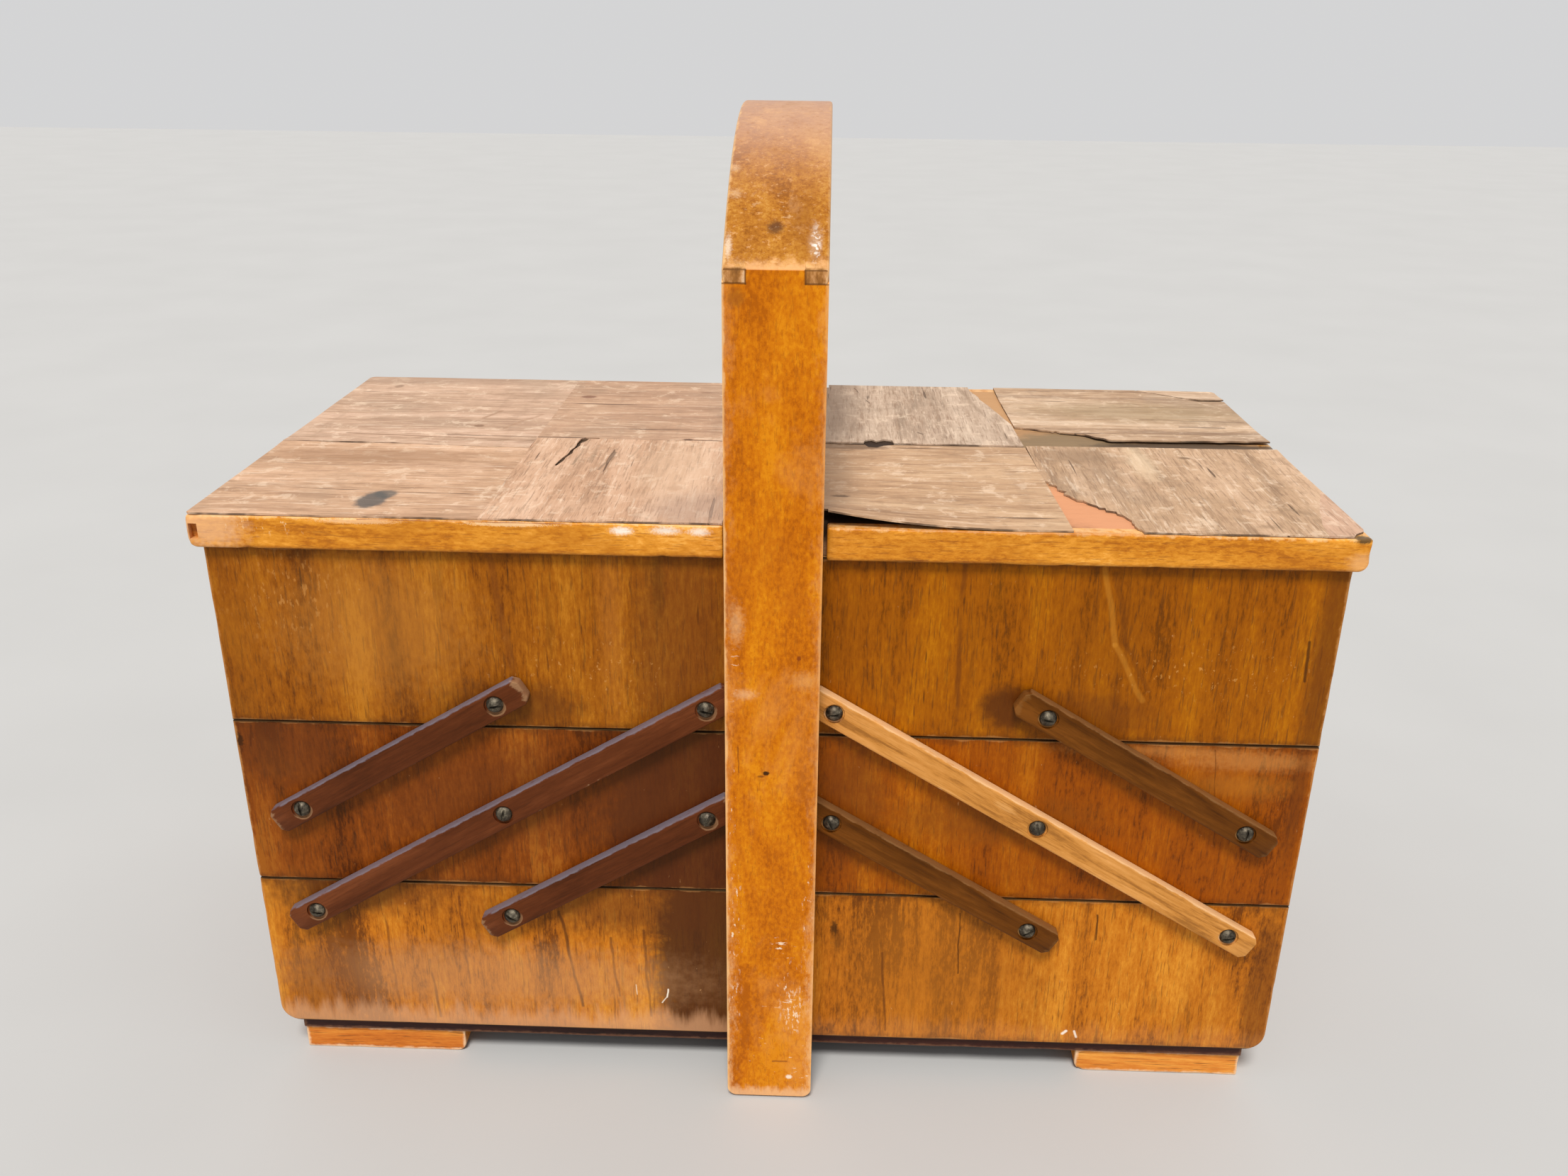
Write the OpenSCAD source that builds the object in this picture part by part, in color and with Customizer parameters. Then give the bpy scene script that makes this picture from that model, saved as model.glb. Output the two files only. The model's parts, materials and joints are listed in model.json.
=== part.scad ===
// Cantilever sewing box: one full-width bottom tray, a left and a right tray on each of two upper
// tiers, hinged lids, a fixed bow handle and two sets of parallel wooden links.
// The front faces -Y, +X is to the right, and the origin is on the table under the box's centre.

/* [Trays] */
// Outside width of the box
box_w = 420; // [380:2:460]
// Outside depth of the trays
tray_d = 204; // [180:2:230]
// Height of the boards of every tier
tier_h = 73; // [68:0.5:80]
// Thickness of the end boards
end_t = 10; // [8:0.5:12]
// Thickness of the front and back boards
wall_t = 9; // [8.5:0.5:11]
// Thickness of the floors of the upper trays
floor_t = 4; // [3:0.5:6]
// Radius of the lower outside corners of the bottom tray
corner_r = 8; // [4:0.5:9]

/* [Base] */
// Height of the feet
foot_h = 11.7; // [8:0.1:16]
// Length of each foot along the front
foot_w = 70; // [40:1:90]
// Length of each foot from front to back
foot_d = 42; // [30:1:80]
// Thickness of the base board, which is also the bottom tray's floor
base_t = 6.1; // [4:0.1:8]

/* [Lids] */
// Thickness of the lid boards without their veneer
lid_t = 12.5; // [11:0.5:14]
// Thickness of the veneer on the lids
veneer_t = 0.8; // [0.6:0.1:1.2]
// How far the lids stand out past the trays
lid_over = 3.6; // [3:0.1:4.4]
// Width of the edging strips round the lids
edging_w = 6; // [5:0.5:9]
// Radius of the lids' outside corners in plan
lid_corner_r = 2.5; // [2:0.5:5]

/* [Handle] */
// Width of the posts and of the bow
post_w = 34.8; // [30:0.2:40]
// Thickness of the posts
post_t = 10.5; // [8:0.5:13]
// Sideways offset of the posts and the bow from the box's centre
post_x = 1.3; // [-1.5:0.1:1.5]
// Gap between the trays and the posts, filled by the spacers
post_gap = 7.5; // [7.2:0.1:9]
// Height of the bow's crown above the table
crown_z = 389.5; // [382:0.5:395]
// Rise of the bow from the posts' front faces to the crown
bow_rise = 46.5; // [40:0.5:50]
// Thickness of the bow
bow_t = 3.2; // [3:0.1:5]

/* [Links] */
// Width of the wooden links
link_w = 11.4; // [10:0.2:13]
// Thickness of the wooden links
link_t = 4.8; // [4:0.1:5]
// Length of a long link past its end pivots
long_end = 11.8; // [7:0.1:14]
// Length of a short link past its end pivots
short_end = 13.2; // [7:0.1:14]
// Distance of the outer pivots from the box's ends
pivot_inset = 24.2; // [22:0.1:30]
// Distance of the inner pivots from the box's centre
pivot_inner = 24.4; // [23:0.1:28]
// Distance of the lower and upper pivots from the rims that they are next to
pivot_drop = 12; // [10:0.5:16]

/* [Hidden] */
$fn = 64;
tier_gap = 0.25;
split_gap = 0.3;
overrun = 1;
tier_pitch = tier_h + tier_gap;
base_z = foot_h;
tray_z = base_z + base_t;
base_inset_x = 7.4;
base_inset_y = 2.6;
foot_x0 = box_w / 2 - base_inset_x - foot_w;
foot_inset_y = 4;
foot_y0 = -tray_d / 2 + foot_inset_y;
foot_corner_r = 4;

// Lid and hinge places, for the right half
lid_z = tray_z + 3 * tier_pitch;
lid_top = lid_z + lid_t + veneer_t;
lid_x1 = box_w / 2 + lid_over;
lid_y1 = tray_d / 2 + lid_over;
strip_clear = 1.4;
patch_gap = 0.2;
patch_margin = 0.6;
leaf_t = 0.85;
leaf_gap = 0.1;
leaf_len = 25;
leaf_drop = 12;
knuckle_r = 1.9;
knuckle_count = 5;
knuckle_gap = 0.15;
hinge_pin_r = 1;
hinge_x = 12.2;
knuckle_lift = 2.15;
hinge_z = lid_top + knuckle_lift;
hinge_y = 60;
hinge_screw_y = 8;
hinge_screw_drop = 8;
hinge_screw_r = 0.9;
hinge_screw_head_r = 1.7;
hinge_screw_len = 8;
rail_x1 = hinge_x - leaf_gap - leaf_t;
lid_x0 = hinge_x + leaf_gap + leaf_t;

// Posts and bow
post_back = tray_d / 2 + post_gap;
post_front = post_back + post_t;
post_z0 = 1.2;
post_corner_r = 4;
tongue_w = 19.4;
bow_r = (post_front * post_front + bow_rise * bow_rise) / (2 * bow_rise);
bow_z = crown_z - bow_r;
bow_low_z = bow_z + bow_r / 3;
spacer_w = 28;
spacer_lift = 6;
spacer_z0 = tray_z + spacer_lift;
spacer_h = 54;
post_screw_inset = 13;
post_screw_zs = [spacer_z0 + post_screw_inset, spacer_z0 + spacer_h - post_screw_inset];
post_screw_r = 1.75;
post_screw_head_r = 3.4;
post_screw_head_h = 2;
post_screw_bite = 7;
post_screw_len = wall_t + post_gap + post_screw_bite;

// Links, their pivots and their screws
screw_r = 1.75;
screw_clear = 0.05;
screw_head_r = 3.35;
screw_head_h = 2.3;
screw_bite = 8;
slot_w = 1;
slot_depth = 1.2;
slot_turn_x = 2;
slot_turn_tier = 70;
recess_r = 4.1;
recess_depth = 0.8;
link_gap = 0.4;
link_clip = 2.2;
outer_x = box_w / 2 - pivot_inset;
mid_x = (outer_x + pivot_inner) / 2;
step_x = (outer_x - pivot_inner) / 2;
pivot_z0 = tray_z + tier_h - pivot_drop;
step_z = (tier_pitch + 2 * pivot_drop) / 2;
link_len = norm([step_x, step_z]);
link_angle = atan2(step_z, step_x);
screw_stack = link_gap + link_t - recess_depth + screw_clear;

// Stained and worn woods, and metals
tray_wood = "#b06a2c";
inner_wood = "#c79a62";
base_wood = "#3a1d14";
foot_wood = "#c06a34";
handle_wood = "#d08238";
edging_wood = "#c98a2e";
lid_wood = "#a98468";
veneer_wood = "#b49079";
dark_wood = "#4a2420";
brown_wood = "#6b3d20";
light_wood = "#bd8a58";
screw_steel = "#3c3d3a";
hinge_brass = "#b08d45";

// Sides are 1 for the right and -1 for the left; faces are -1 for the front and 1 for the back.
function tier_z(tier) = tray_z + tier * tier_pitch;
function pivot_z(tier) = pivot_z0 + tier * step_z;
function pivot_xs(tier) = [if (tier > 0) pivot_inner, mid_x, if (tier < 2) outer_x];

// Where the front and back edging and veneer of a lid begin, just clear of the posts
function strip_x0(side) = side * post_x + post_w / 2 + strip_clear;

// Draws right-hand parts on the given side
module on_side(side) {
    if (side > 0) children();
    else mirror([1, 0, 0]) children();
}

// Draws front parts on the given face
module on_face(face) {
    if (face < 0) children();
    else mirror([0, 1, 0]) children();
}

// A cube given by its two corners
module block(low, high) {
    translate(low) cube(high - low);
}

// A rod through the front board of a tier at each of its pivots, r in radius
module pivot_pilots(tier) {
    for (x = pivot_xs(tier))
        translate([x, -tray_d / 2 - overrun, pivot_z(tier)])
            rotate([-90, 0, 0]) cylinder(r = screw_r, h = screw_bite + overrun);
}

// The front board of the right-hand tray of a tier
module half_tray_front(tier) {
    difference() {
        block([split_gap / 2 + end_t, -tray_d / 2, tier_z(tier)],
              [box_w / 2 - end_t, -tray_d / 2 + wall_t, tier_z(tier) + tier_h]);
        pivot_pilots(tier);
    }
}

// The inner and the outer end board of the right-hand tray of a tier
module half_tray_ends(tier) {
    for (x = [split_gap / 2, box_w / 2 - end_t])
        block([x, -tray_d / 2, tier_z(tier)], [x + end_t, tray_d / 2, tier_z(tier) + tier_h]);
}

// The floor of the right-hand tray of a tier, let in between its boards
module half_tray_floor(tier) {
    block([split_gap / 2 + end_t, -tray_d / 2 + wall_t, tier_z(tier)],
          [box_w / 2 - end_t, tray_d / 2 - wall_t, tier_z(tier) + floor_t]);
}

// The rail beside the centre of the right-hand top tray, which carries the lid's hinges
module lid_rail() {
    difference() {
        block([split_gap / 2, -tray_d / 2, tier_z(2) + tier_h], [rail_x1, tray_d / 2, lid_top]);
        hinge_screws(-1);
    }
}

// The board of the right-hand lid
module lid_board() {
    difference() {
        block([lid_x0, -lid_y1 + edging_w, lid_z], [lid_x1 - edging_w, lid_y1 - edging_w, lid_z + lid_t]);
        hinge_screws(1);
    }
}

// What rounds off the outside front corner of the right-hand lid
module lid_corner_waste() {
    difference() {
        block([lid_x1 - lid_corner_r, -lid_y1 - overrun, lid_z - overrun],
              [lid_x1 + overrun, -lid_y1 + lid_corner_r, lid_top + overrun]);
        translate([lid_x1 - lid_corner_r, -lid_y1 + lid_corner_r, lid_z - 2 * overrun])
            cylinder(r = lid_corner_r, h = lid_t + veneer_t + 4 * overrun);
    }
}

// The three edging strips of a lid; the front and back strips stop beside the posts
module lid_strips(side) {
    difference() {
        union() {
            for (face = [-1, 1])
                on_face(face) block([strip_x0(side), -lid_y1, lid_z],
                                    [lid_x1, -lid_y1 + edging_w, lid_z + lid_t]);
            block([lid_x1 - edging_w, -lid_y1 + edging_w, lid_z],
                  [lid_x1, lid_y1 - edging_w, lid_z + lid_t]);
        }
        for (face = [-1, 1])
            on_face(face) lid_corner_waste();
    }
}

// The four veneer patches of a lid, in two columns and two rows, cut out beside the posts
module lid_patches(side) {
    patch_w = (lid_x1 - patch_margin - lid_x0 - patch_gap) / 2;
    patch_d = lid_y1 - patch_margin - patch_gap / 2;
    difference() {
        for (column = [0, 1], face = [-1, 1])
            on_face(face)
                translate([lid_x0 + column * (patch_w + patch_gap), -lid_y1 + patch_margin, lid_z + lid_t])
                    cube([patch_w, patch_d, veneer_t]);
        for (face = [-1, 1])
            on_face(face) {
                lid_corner_waste();
                block([lid_x0 - overrun, -lid_y1 - overrun, lid_z],
                      [strip_x0(side), -lid_y1 + edging_w, lid_top + overrun]);
            }
    }
}

// A countersunk hinge screw along +X, with the face of its head at the origin
module hinge_screw() {
    rotate([0, 90, 0]) {
        cylinder(r1 = hinge_screw_head_r, r2 = hinge_screw_r, h = leaf_t);
        cylinder(r = hinge_screw_r, h = leaf_t + hinge_screw_len);
    }
}

// The screws of the lid leaves (way 1) or of the rail leaves (way -1) of the right-hand lid
module hinge_screws(way) {
    for (y = [-hinge_y, hinge_y], dy = [-hinge_screw_y, hinge_screw_y])
        translate([hinge_x + way * leaf_gap, y + dy, hinge_z - hinge_screw_drop])
            mirror([way > 0 ? 0 : 1, 0, 0]) hinge_screw();
}

// One hinge leaf with its knuckles, on the lid's side (way 1) or the rail's side (way -1)
module hinge_leaf(way) {
    knuckle_len = leaf_len / knuckle_count;
    first = way > 0 ? 1 : 0;
    x0 = way > 0 ? leaf_gap : -leaf_gap - leaf_t;
    block([x0, -leaf_len / 2, -leaf_drop], [x0 + leaf_t, leaf_len / 2, -knuckle_r - leaf_gap]);
    for (i = [first : 2 : knuckle_count - 1])
        translate([0, -leaf_len / 2 + i * knuckle_len + knuckle_gap / 2, 0]) {
            block([x0, 0, -knuckle_r - leaf_gap], [x0 + leaf_t, knuckle_len - knuckle_gap, 0]);
            rotate([-90, 0, 0]) cylinder(r = knuckle_r, h = knuckle_len - knuckle_gap);
        }
}

// The two leaves on the rail of the right-hand top tray, with the hinge pins fixed in them
module rail_leaves() {
    difference() {
        for (y = [-hinge_y, hinge_y])
            translate([hinge_x, y, hinge_z]) {
                hinge_leaf(-1);
                translate([0, -leaf_len / 2, 0])
                    rotate([-90, 0, 0]) cylinder(r = hinge_pin_r, h = leaf_len);
            }
        hinge_screws(-1);
    }
}

// The two leaves on the right-hand lid, bored to turn on the pins
module lid_leaves() {
    difference() {
        for (y = [-hinge_y, hinge_y])
            translate([hinge_x, y, hinge_z]) hinge_leaf(1);
        for (y = [-hinge_y, hinge_y])
            translate([hinge_x, y - leaf_len / 2 - overrun, hinge_z])
                rotate([-90, 0, 0]) cylinder(r = hinge_pin_r + screw_clear, h = leaf_len + 2 * overrun);
        hinge_screws(1);
    }
}

// The outline of a link with pivots at x = 0 and x = span, its corners clipped
module link_outline(span, a) {
    b = link_w / 2;
    c = link_clip;
    polygon([
        [-a, -b + c], [-a + c, -b], [span + a - c, -b], [span + a, -b + c],
        [span + a, b - c], [span + a - c, b], [-a + c, b], [-a, b - c]
    ]);
}

// A link with evenly spaced pivot holes, its outer face at z = link_t
module link_bar(holes) {
    difference() {
        linear_extrude(link_t)
            link_outline(link_len * (holes - 1), holes > 2 ? long_end : short_end);
        for (i = [0 : holes - 1])
            translate([i * link_len, 0, 0]) {
                translate([0, 0, -overrun]) cylinder(r = screw_r + screw_clear, h = link_t + 2 * overrun);
                translate([0, 0, link_t - recess_depth]) cylinder(r = recess_r, h = recess_depth + overrun);
            }
    }
}

// A link on the given side and face, from its lower pivot at (x, z) up towards the centre
module placed_link(side, face, x, z, holes) {
    on_side(side) on_face(face)
        translate([x, -tray_d / 2 - link_gap, z])
            rotate([90, 0, 0]) rotate([0, 0, 180 - link_angle]) link_bar(holes);
}

module long_link(side, face) {
    placed_link(side, face, outer_x, pivot_z(0), 3);
}

module lower_link(side, face) {
    placed_link(side, face, mid_x, pivot_z(0), 2);
}

module upper_link(side, face) {
    placed_link(side, face, outer_x, pivot_z(1), 2);
}

// A round-headed slotted wood screw along z, the underside of its head at z = 0
module pivot_screw() {
    ball_r = (screw_head_r * screw_head_r + screw_head_h * screw_head_h) / (2 * screw_head_h);
    translate([0, 0, -screw_stack - screw_bite]) cylinder(r = screw_r, h = screw_stack + screw_bite);
    difference() {
        intersection() {
            translate([0, 0, screw_head_h - ball_r]) sphere(r = ball_r);
            cylinder(r = screw_head_r + overrun, h = screw_head_h + overrun);
        }
        translate([-screw_head_r - overrun, -slot_w / 2, screw_head_h - slot_depth])
            cube([2 * (screw_head_r + overrun), slot_w, slot_depth + overrun]);
    }
}

// The pivot screws of a tier on one side, front and back
module pivot_screws(side, tier) {
    for (x = pivot_xs(tier), face = [-1, 1])
        on_side(side) on_face(face)
            translate([x, -tray_d / 2 - screw_stack, pivot_z(tier)])
                rotate([90, 0, 0]) rotate([0, 0, slot_turn_x * x + slot_turn_tier * tier]) pivot_screw();
}

// A front or back board of the bottom tray
module bottom_board() {
    difference() {
        block([-box_w / 2 + end_t, -tray_d / 2, tray_z],
              [box_w / 2 - end_t, -tray_d / 2 + wall_t, tray_z + tier_h]);
        for (side = [-1, 1])
            on_side(side) pivot_pilots(0);
        post_screw_set();
    }
}

// The right-hand end board of the bottom tray, with its lower outside corner rounded
module bottom_end() {
    difference() {
        block([box_w / 2 - end_t, -tray_d / 2, tray_z], [box_w / 2, tray_d / 2, tray_z + tier_h]);
        difference() {
            block([box_w / 2 - corner_r, -tray_d / 2 - overrun, tray_z - overrun],
                  [box_w / 2 + overrun, tray_d / 2 + overrun, tray_z + corner_r]);
            translate([box_w / 2 - corner_r, -tray_d / 2 - 2 * overrun, tray_z + corner_r])
                rotate([-90, 0, 0]) cylinder(r = corner_r, h = tray_d + 4 * overrun);
        }
    }
}

// One foot, at the front right, with its lower inner corner rounded
module foot() {
    difference() {
        block([foot_x0, foot_y0, 0], [foot_x0 + foot_w, foot_y0 + foot_d, foot_h]);
        difference() {
            block([foot_x0 - overrun, foot_y0 - overrun, -overrun],
                  [foot_x0 + foot_corner_r, foot_y0 + foot_d + overrun, foot_corner_r]);
            translate([foot_x0 + foot_corner_r, foot_y0 - 2 * overrun, foot_corner_r])
                rotate([-90, 0, 0]) cylinder(r = foot_corner_r, h = foot_d + 4 * overrun);
        }
    }
}

// A rod along X, centred on the bow's centre line, as wide as the bow
module bow_disc(r) {
    translate([post_x - post_w / 2, 0, bow_z]) rotate([0, 90, 0]) cylinder(r = r, h = post_w, $fn = 180);
}

// The whole bent strip, from the front of one post to the front of the other
module bow_strip() {
    intersection() {
        difference() {
            bow_disc(bow_r);
            translate([-overrun, 0, 0]) bow_disc(bow_r - bow_t);
            translate([overrun, 0, 0]) bow_disc(bow_r - bow_t);
        }
        block([post_x - post_w, -post_front, bow_low_z], [post_x + post_w, post_front, crown_z + overrun]);
    }
}

// The space of the front post's centre tongue
module tongue_space(extra) {
    block([post_x - tongue_w / 2, -post_front - extra, bow_z],
          [post_x + tongue_w / 2, -post_back, crown_z + overrun]);
}

// The front post before its top is jointed to the bow
module post_board() {
    r = post_corner_r;
    x0 = post_x - post_w / 2;
    x1 = post_x + post_w / 2;
    block([x0, -post_front, post_z0 + r], [x1, -post_back, crown_z]);
    block([x0 + r, -post_front, post_z0], [x1 - r, -post_back, post_z0 + r]);
    for (x = [x0 + r, x1 - r])
        translate([x, -post_front, post_z0 + r]) rotate([-90, 0, 0]) cylinder(r = r, h = post_t);
}

// The front post: a tongue between two fingers of the bow at its top
module post() {
    difference() {
        intersection() {
            post_board();
            union() {
                bow_disc(bow_r);
                block([post_x - post_w, -post_front - overrun, 0], [post_x + post_w, 0, bow_low_z]);
            }
        }
        difference() {
            bow_strip();
            tongue_space(overrun);
        }
        post_screw_set();
    }
}

// A screw from inside the bottom tray through a spacer into the front post
module post_screw() {
    rotate([90, 0, 0]) {
        cylinder(r = post_screw_r, h = post_screw_len);
        cylinder(r1 = post_screw_head_r, r2 = post_screw_r, h = post_screw_head_h);
    }
}

module post_screw_set() {
    for (z = post_screw_zs)
        translate([post_x, -tray_d / 2 + wall_t, z]) post_screw();
}

module spacer() {
    difference() {
        block([post_x - spacer_w / 2, -post_back, spacer_z0],
              [post_x + spacer_w / 2, -tray_d / 2, spacer_z0 + spacer_h]);
        post_screw_set();
    }
}

module base_board() {
    color(base_wood)
        block([-box_w / 2 + base_inset_x, -tray_d / 2 + base_inset_y, base_z],
              [box_w / 2 - base_inset_x, tray_d / 2 - base_inset_y, base_z + base_t]);
}

module feet() {
    color(foot_wood)
        for (side = [-1, 1], face = [-1, 1])
            on_side(side) on_face(face) foot();
}

module bottom_tray_front() {
    color(tray_wood) bottom_board();
}

module bottom_tray_back() {
    color(tray_wood) on_face(1) bottom_board();
}

module bottom_tray_ends() {
    color(tray_wood)
        for (side = [-1, 1])
            on_side(side) bottom_end();
}

module front_post() {
    color(handle_wood) post();
}

module back_post() {
    color(handle_wood) on_face(1) post();
}

module handle_bow() {
    color(handle_wood)
        difference() {
            bow_strip();
            for (face = [-1, 1])
                on_face(face) tongue_space(overrun);
        }
}

module post_spacers() {
    color(dark_wood)
        for (face = [-1, 1])
            on_face(face) spacer();
}

module post_screws() {
    color(screw_steel)
        for (face = [-1, 1])
            on_face(face) post_screw_set();
}

module bottom_pivot_screws() {
    color(screw_steel)
        for (side = [-1, 1])
            pivot_screws(side, 0);
}

module left_middle_tray_front() {
    color(tray_wood) on_side(-1) half_tray_front(1);
}

module left_middle_tray_back() {
    color(tray_wood) on_side(-1) on_face(1) half_tray_front(1);
}

module left_middle_tray_ends() {
    color(tray_wood) on_side(-1) half_tray_ends(1);
}

module left_middle_tray_floor() {
    color(inner_wood) on_side(-1) half_tray_floor(1);
}

module left_middle_pivot_screws() {
    color(screw_steel) pivot_screws(-1, 1);
}

module right_middle_tray_front() {
    color(tray_wood) half_tray_front(1);
}

module right_middle_tray_back() {
    color(tray_wood) on_face(1) half_tray_front(1);
}

module right_middle_tray_ends() {
    color(tray_wood) half_tray_ends(1);
}

module right_middle_tray_floor() {
    color(inner_wood) half_tray_floor(1);
}

module right_middle_pivot_screws() {
    color(screw_steel) pivot_screws(1, 1);
}

module left_top_tray_front() {
    color(tray_wood) on_side(-1) half_tray_front(2);
}

module left_top_tray_back() {
    color(tray_wood) on_side(-1) on_face(1) half_tray_front(2);
}

module left_top_tray_ends() {
    color(tray_wood) on_side(-1) half_tray_ends(2);
}

module left_top_tray_floor() {
    color(inner_wood) on_side(-1) half_tray_floor(2);
}

module left_top_tray_rail() {
    color(lid_wood) on_side(-1) lid_rail();
}

module left_top_pivot_screws() {
    color(screw_steel) pivot_screws(-1, 2);
}

module right_top_tray_front() {
    color(tray_wood) half_tray_front(2);
}

module right_top_tray_back() {
    color(tray_wood) on_face(1) half_tray_front(2);
}

module right_top_tray_ends() {
    color(tray_wood) half_tray_ends(2);
}

module right_top_tray_floor() {
    color(inner_wood) half_tray_floor(2);
}

module right_top_tray_rail() {
    color(lid_wood) lid_rail();
}

module right_top_pivot_screws() {
    color(screw_steel) pivot_screws(1, 2);
}

module left_lid_panel() {
    color(lid_wood) on_side(-1) lid_board();
}

module left_lid_edging() {
    color(edging_wood) on_side(-1) lid_strips(-1);
}

module left_lid_veneer() {
    color(veneer_wood) on_side(-1) lid_patches(-1);
}

module right_lid_panel() {
    color(lid_wood) lid_board();
}

module right_lid_edging() {
    color(edging_wood) lid_strips(1);
}

module right_lid_veneer() {
    color(veneer_wood) lid_patches(1);
}

module left_hinge_rail_leaves() {
    color(hinge_brass) on_side(-1) rail_leaves();
}

module left_hinge_lid_leaves() {
    color(hinge_brass) on_side(-1) lid_leaves();
}

module left_hinge_rail_screws() {
    color(hinge_brass) on_side(-1) hinge_screws(-1);
}

module left_hinge_lid_screws() {
    color(hinge_brass) on_side(-1) hinge_screws(1);
}

module right_hinge_rail_leaves() {
    color(hinge_brass) rail_leaves();
}

module right_hinge_lid_leaves() {
    color(hinge_brass) lid_leaves();
}

module right_hinge_rail_screws() {
    color(hinge_brass) hinge_screws(-1);
}

module right_hinge_lid_screws() {
    color(hinge_brass) hinge_screws(1);
}

module left_long_link_front() {
    color(dark_wood) long_link(-1, -1);
}

module left_long_link_back() {
    color(dark_wood) long_link(-1, 1);
}

module left_lower_link_front() {
    color(dark_wood) lower_link(-1, -1);
}

module left_lower_link_back() {
    color(dark_wood) lower_link(-1, 1);
}

module left_upper_link_front() {
    color(dark_wood) upper_link(-1, -1);
}

module left_upper_link_back() {
    color(dark_wood) upper_link(-1, 1);
}

module right_long_link_front() {
    color(light_wood) long_link(1, -1);
}

module right_long_link_back() {
    color(dark_wood) long_link(1, 1);
}

module right_lower_link_front() {
    color(brown_wood) lower_link(1, -1);
}

module right_lower_link_back() {
    color(dark_wood) lower_link(1, 1);
}

module right_upper_link_front() {
    color(brown_wood) upper_link(1, -1);
}

module right_upper_link_back() {
    color(dark_wood) upper_link(1, 1);
}

base_board();
feet();
bottom_tray_front();
bottom_tray_back();
bottom_tray_ends();
front_post();
back_post();
handle_bow();
post_spacers();
post_screws();
bottom_pivot_screws();
left_middle_tray_front();
left_middle_tray_back();
left_middle_tray_ends();
left_middle_tray_floor();
left_middle_pivot_screws();
right_middle_tray_front();
right_middle_tray_back();
right_middle_tray_ends();
right_middle_tray_floor();
right_middle_pivot_screws();
left_top_tray_front();
left_top_tray_back();
left_top_tray_ends();
left_top_tray_floor();
left_top_tray_rail();
left_top_pivot_screws();
right_top_tray_front();
right_top_tray_back();
right_top_tray_ends();
right_top_tray_floor();
right_top_tray_rail();
right_top_pivot_screws();
left_lid_panel();
left_lid_edging();
left_lid_veneer();
right_lid_panel();
right_lid_edging();
right_lid_veneer();
left_hinge_rail_leaves();
left_hinge_lid_leaves();
left_hinge_rail_screws();
left_hinge_lid_screws();
right_hinge_rail_leaves();
right_hinge_lid_leaves();
right_hinge_rail_screws();
right_hinge_lid_screws();
left_long_link_front();
left_long_link_back();
left_lower_link_front();
left_lower_link_back();
left_upper_link_front();
left_upper_link_back();
right_long_link_front();
right_long_link_back();
right_lower_link_front();
right_lower_link_back();
right_upper_link_front();
right_upper_link_back();
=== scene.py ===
import functools
import json
import math
import random

import bmesh
import bpy
import numpy as np
from mathutils import Matrix, Vector, noise

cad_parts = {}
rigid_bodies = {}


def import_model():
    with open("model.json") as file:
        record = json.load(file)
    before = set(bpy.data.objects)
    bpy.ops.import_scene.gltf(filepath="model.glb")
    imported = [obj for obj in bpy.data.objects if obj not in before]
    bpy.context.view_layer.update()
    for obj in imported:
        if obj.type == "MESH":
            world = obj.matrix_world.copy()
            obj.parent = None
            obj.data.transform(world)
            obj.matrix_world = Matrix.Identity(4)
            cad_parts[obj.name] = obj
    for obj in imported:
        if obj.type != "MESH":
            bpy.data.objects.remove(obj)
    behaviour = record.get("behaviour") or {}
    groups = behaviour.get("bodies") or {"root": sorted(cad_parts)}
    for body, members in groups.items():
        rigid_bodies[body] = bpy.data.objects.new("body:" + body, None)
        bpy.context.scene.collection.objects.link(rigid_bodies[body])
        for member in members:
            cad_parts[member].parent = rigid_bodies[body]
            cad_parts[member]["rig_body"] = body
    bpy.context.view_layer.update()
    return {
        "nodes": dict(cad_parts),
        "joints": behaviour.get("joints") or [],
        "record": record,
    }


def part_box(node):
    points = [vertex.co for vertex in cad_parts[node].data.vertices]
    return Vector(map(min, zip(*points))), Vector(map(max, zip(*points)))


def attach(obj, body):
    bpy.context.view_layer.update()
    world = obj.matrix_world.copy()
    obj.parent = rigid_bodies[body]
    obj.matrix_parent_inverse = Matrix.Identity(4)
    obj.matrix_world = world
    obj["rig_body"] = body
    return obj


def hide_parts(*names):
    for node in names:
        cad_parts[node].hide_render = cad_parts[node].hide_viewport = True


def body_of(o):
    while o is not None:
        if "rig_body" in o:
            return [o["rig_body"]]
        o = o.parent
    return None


# The looks of an old wooden cantilever sewing box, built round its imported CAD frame.
# Lengths are in metres; marks and outlines are given in millimetres from the box's centre and the table.
MM = 0.001
CAMERA_PLACE = (0.0176, -0.5483, 0.4104)
CAMERA_TURNS = ((1.654, "Z"), (90 - 22.54, "X"), (0.642, "Z"))  # in degrees: its heading, tilt and roll
LENS, SENSOR = 30.14, 36  # in millimetres
SIDES = {"left": -1, "right": 1}
FACES = {"front": -1, "back": 1}

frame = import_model()
joint_places = {j["name"]: Vector(j["pos_m"]) for j in frame["joints"]}


# Camera and light.

def add_camera():
    """The photograph's viewpoint: standing in front of the box, a little above its bow."""
    lens = bpy.data.cameras.new("camera")
    lens.sensor_width = SENSOR
    lens.lens = LENS
    camera = bpy.data.objects.new("camera", lens)
    camera.matrix_world = Matrix.Translation(CAMERA_PLACE)
    for angle, axis in CAMERA_TURNS:
        camera.matrix_world @= Matrix.Rotation(math.radians(angle), 4, axis)
    bpy.context.scene.collection.objects.link(camera)
    bpy.context.scene.camera = camera


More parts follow.
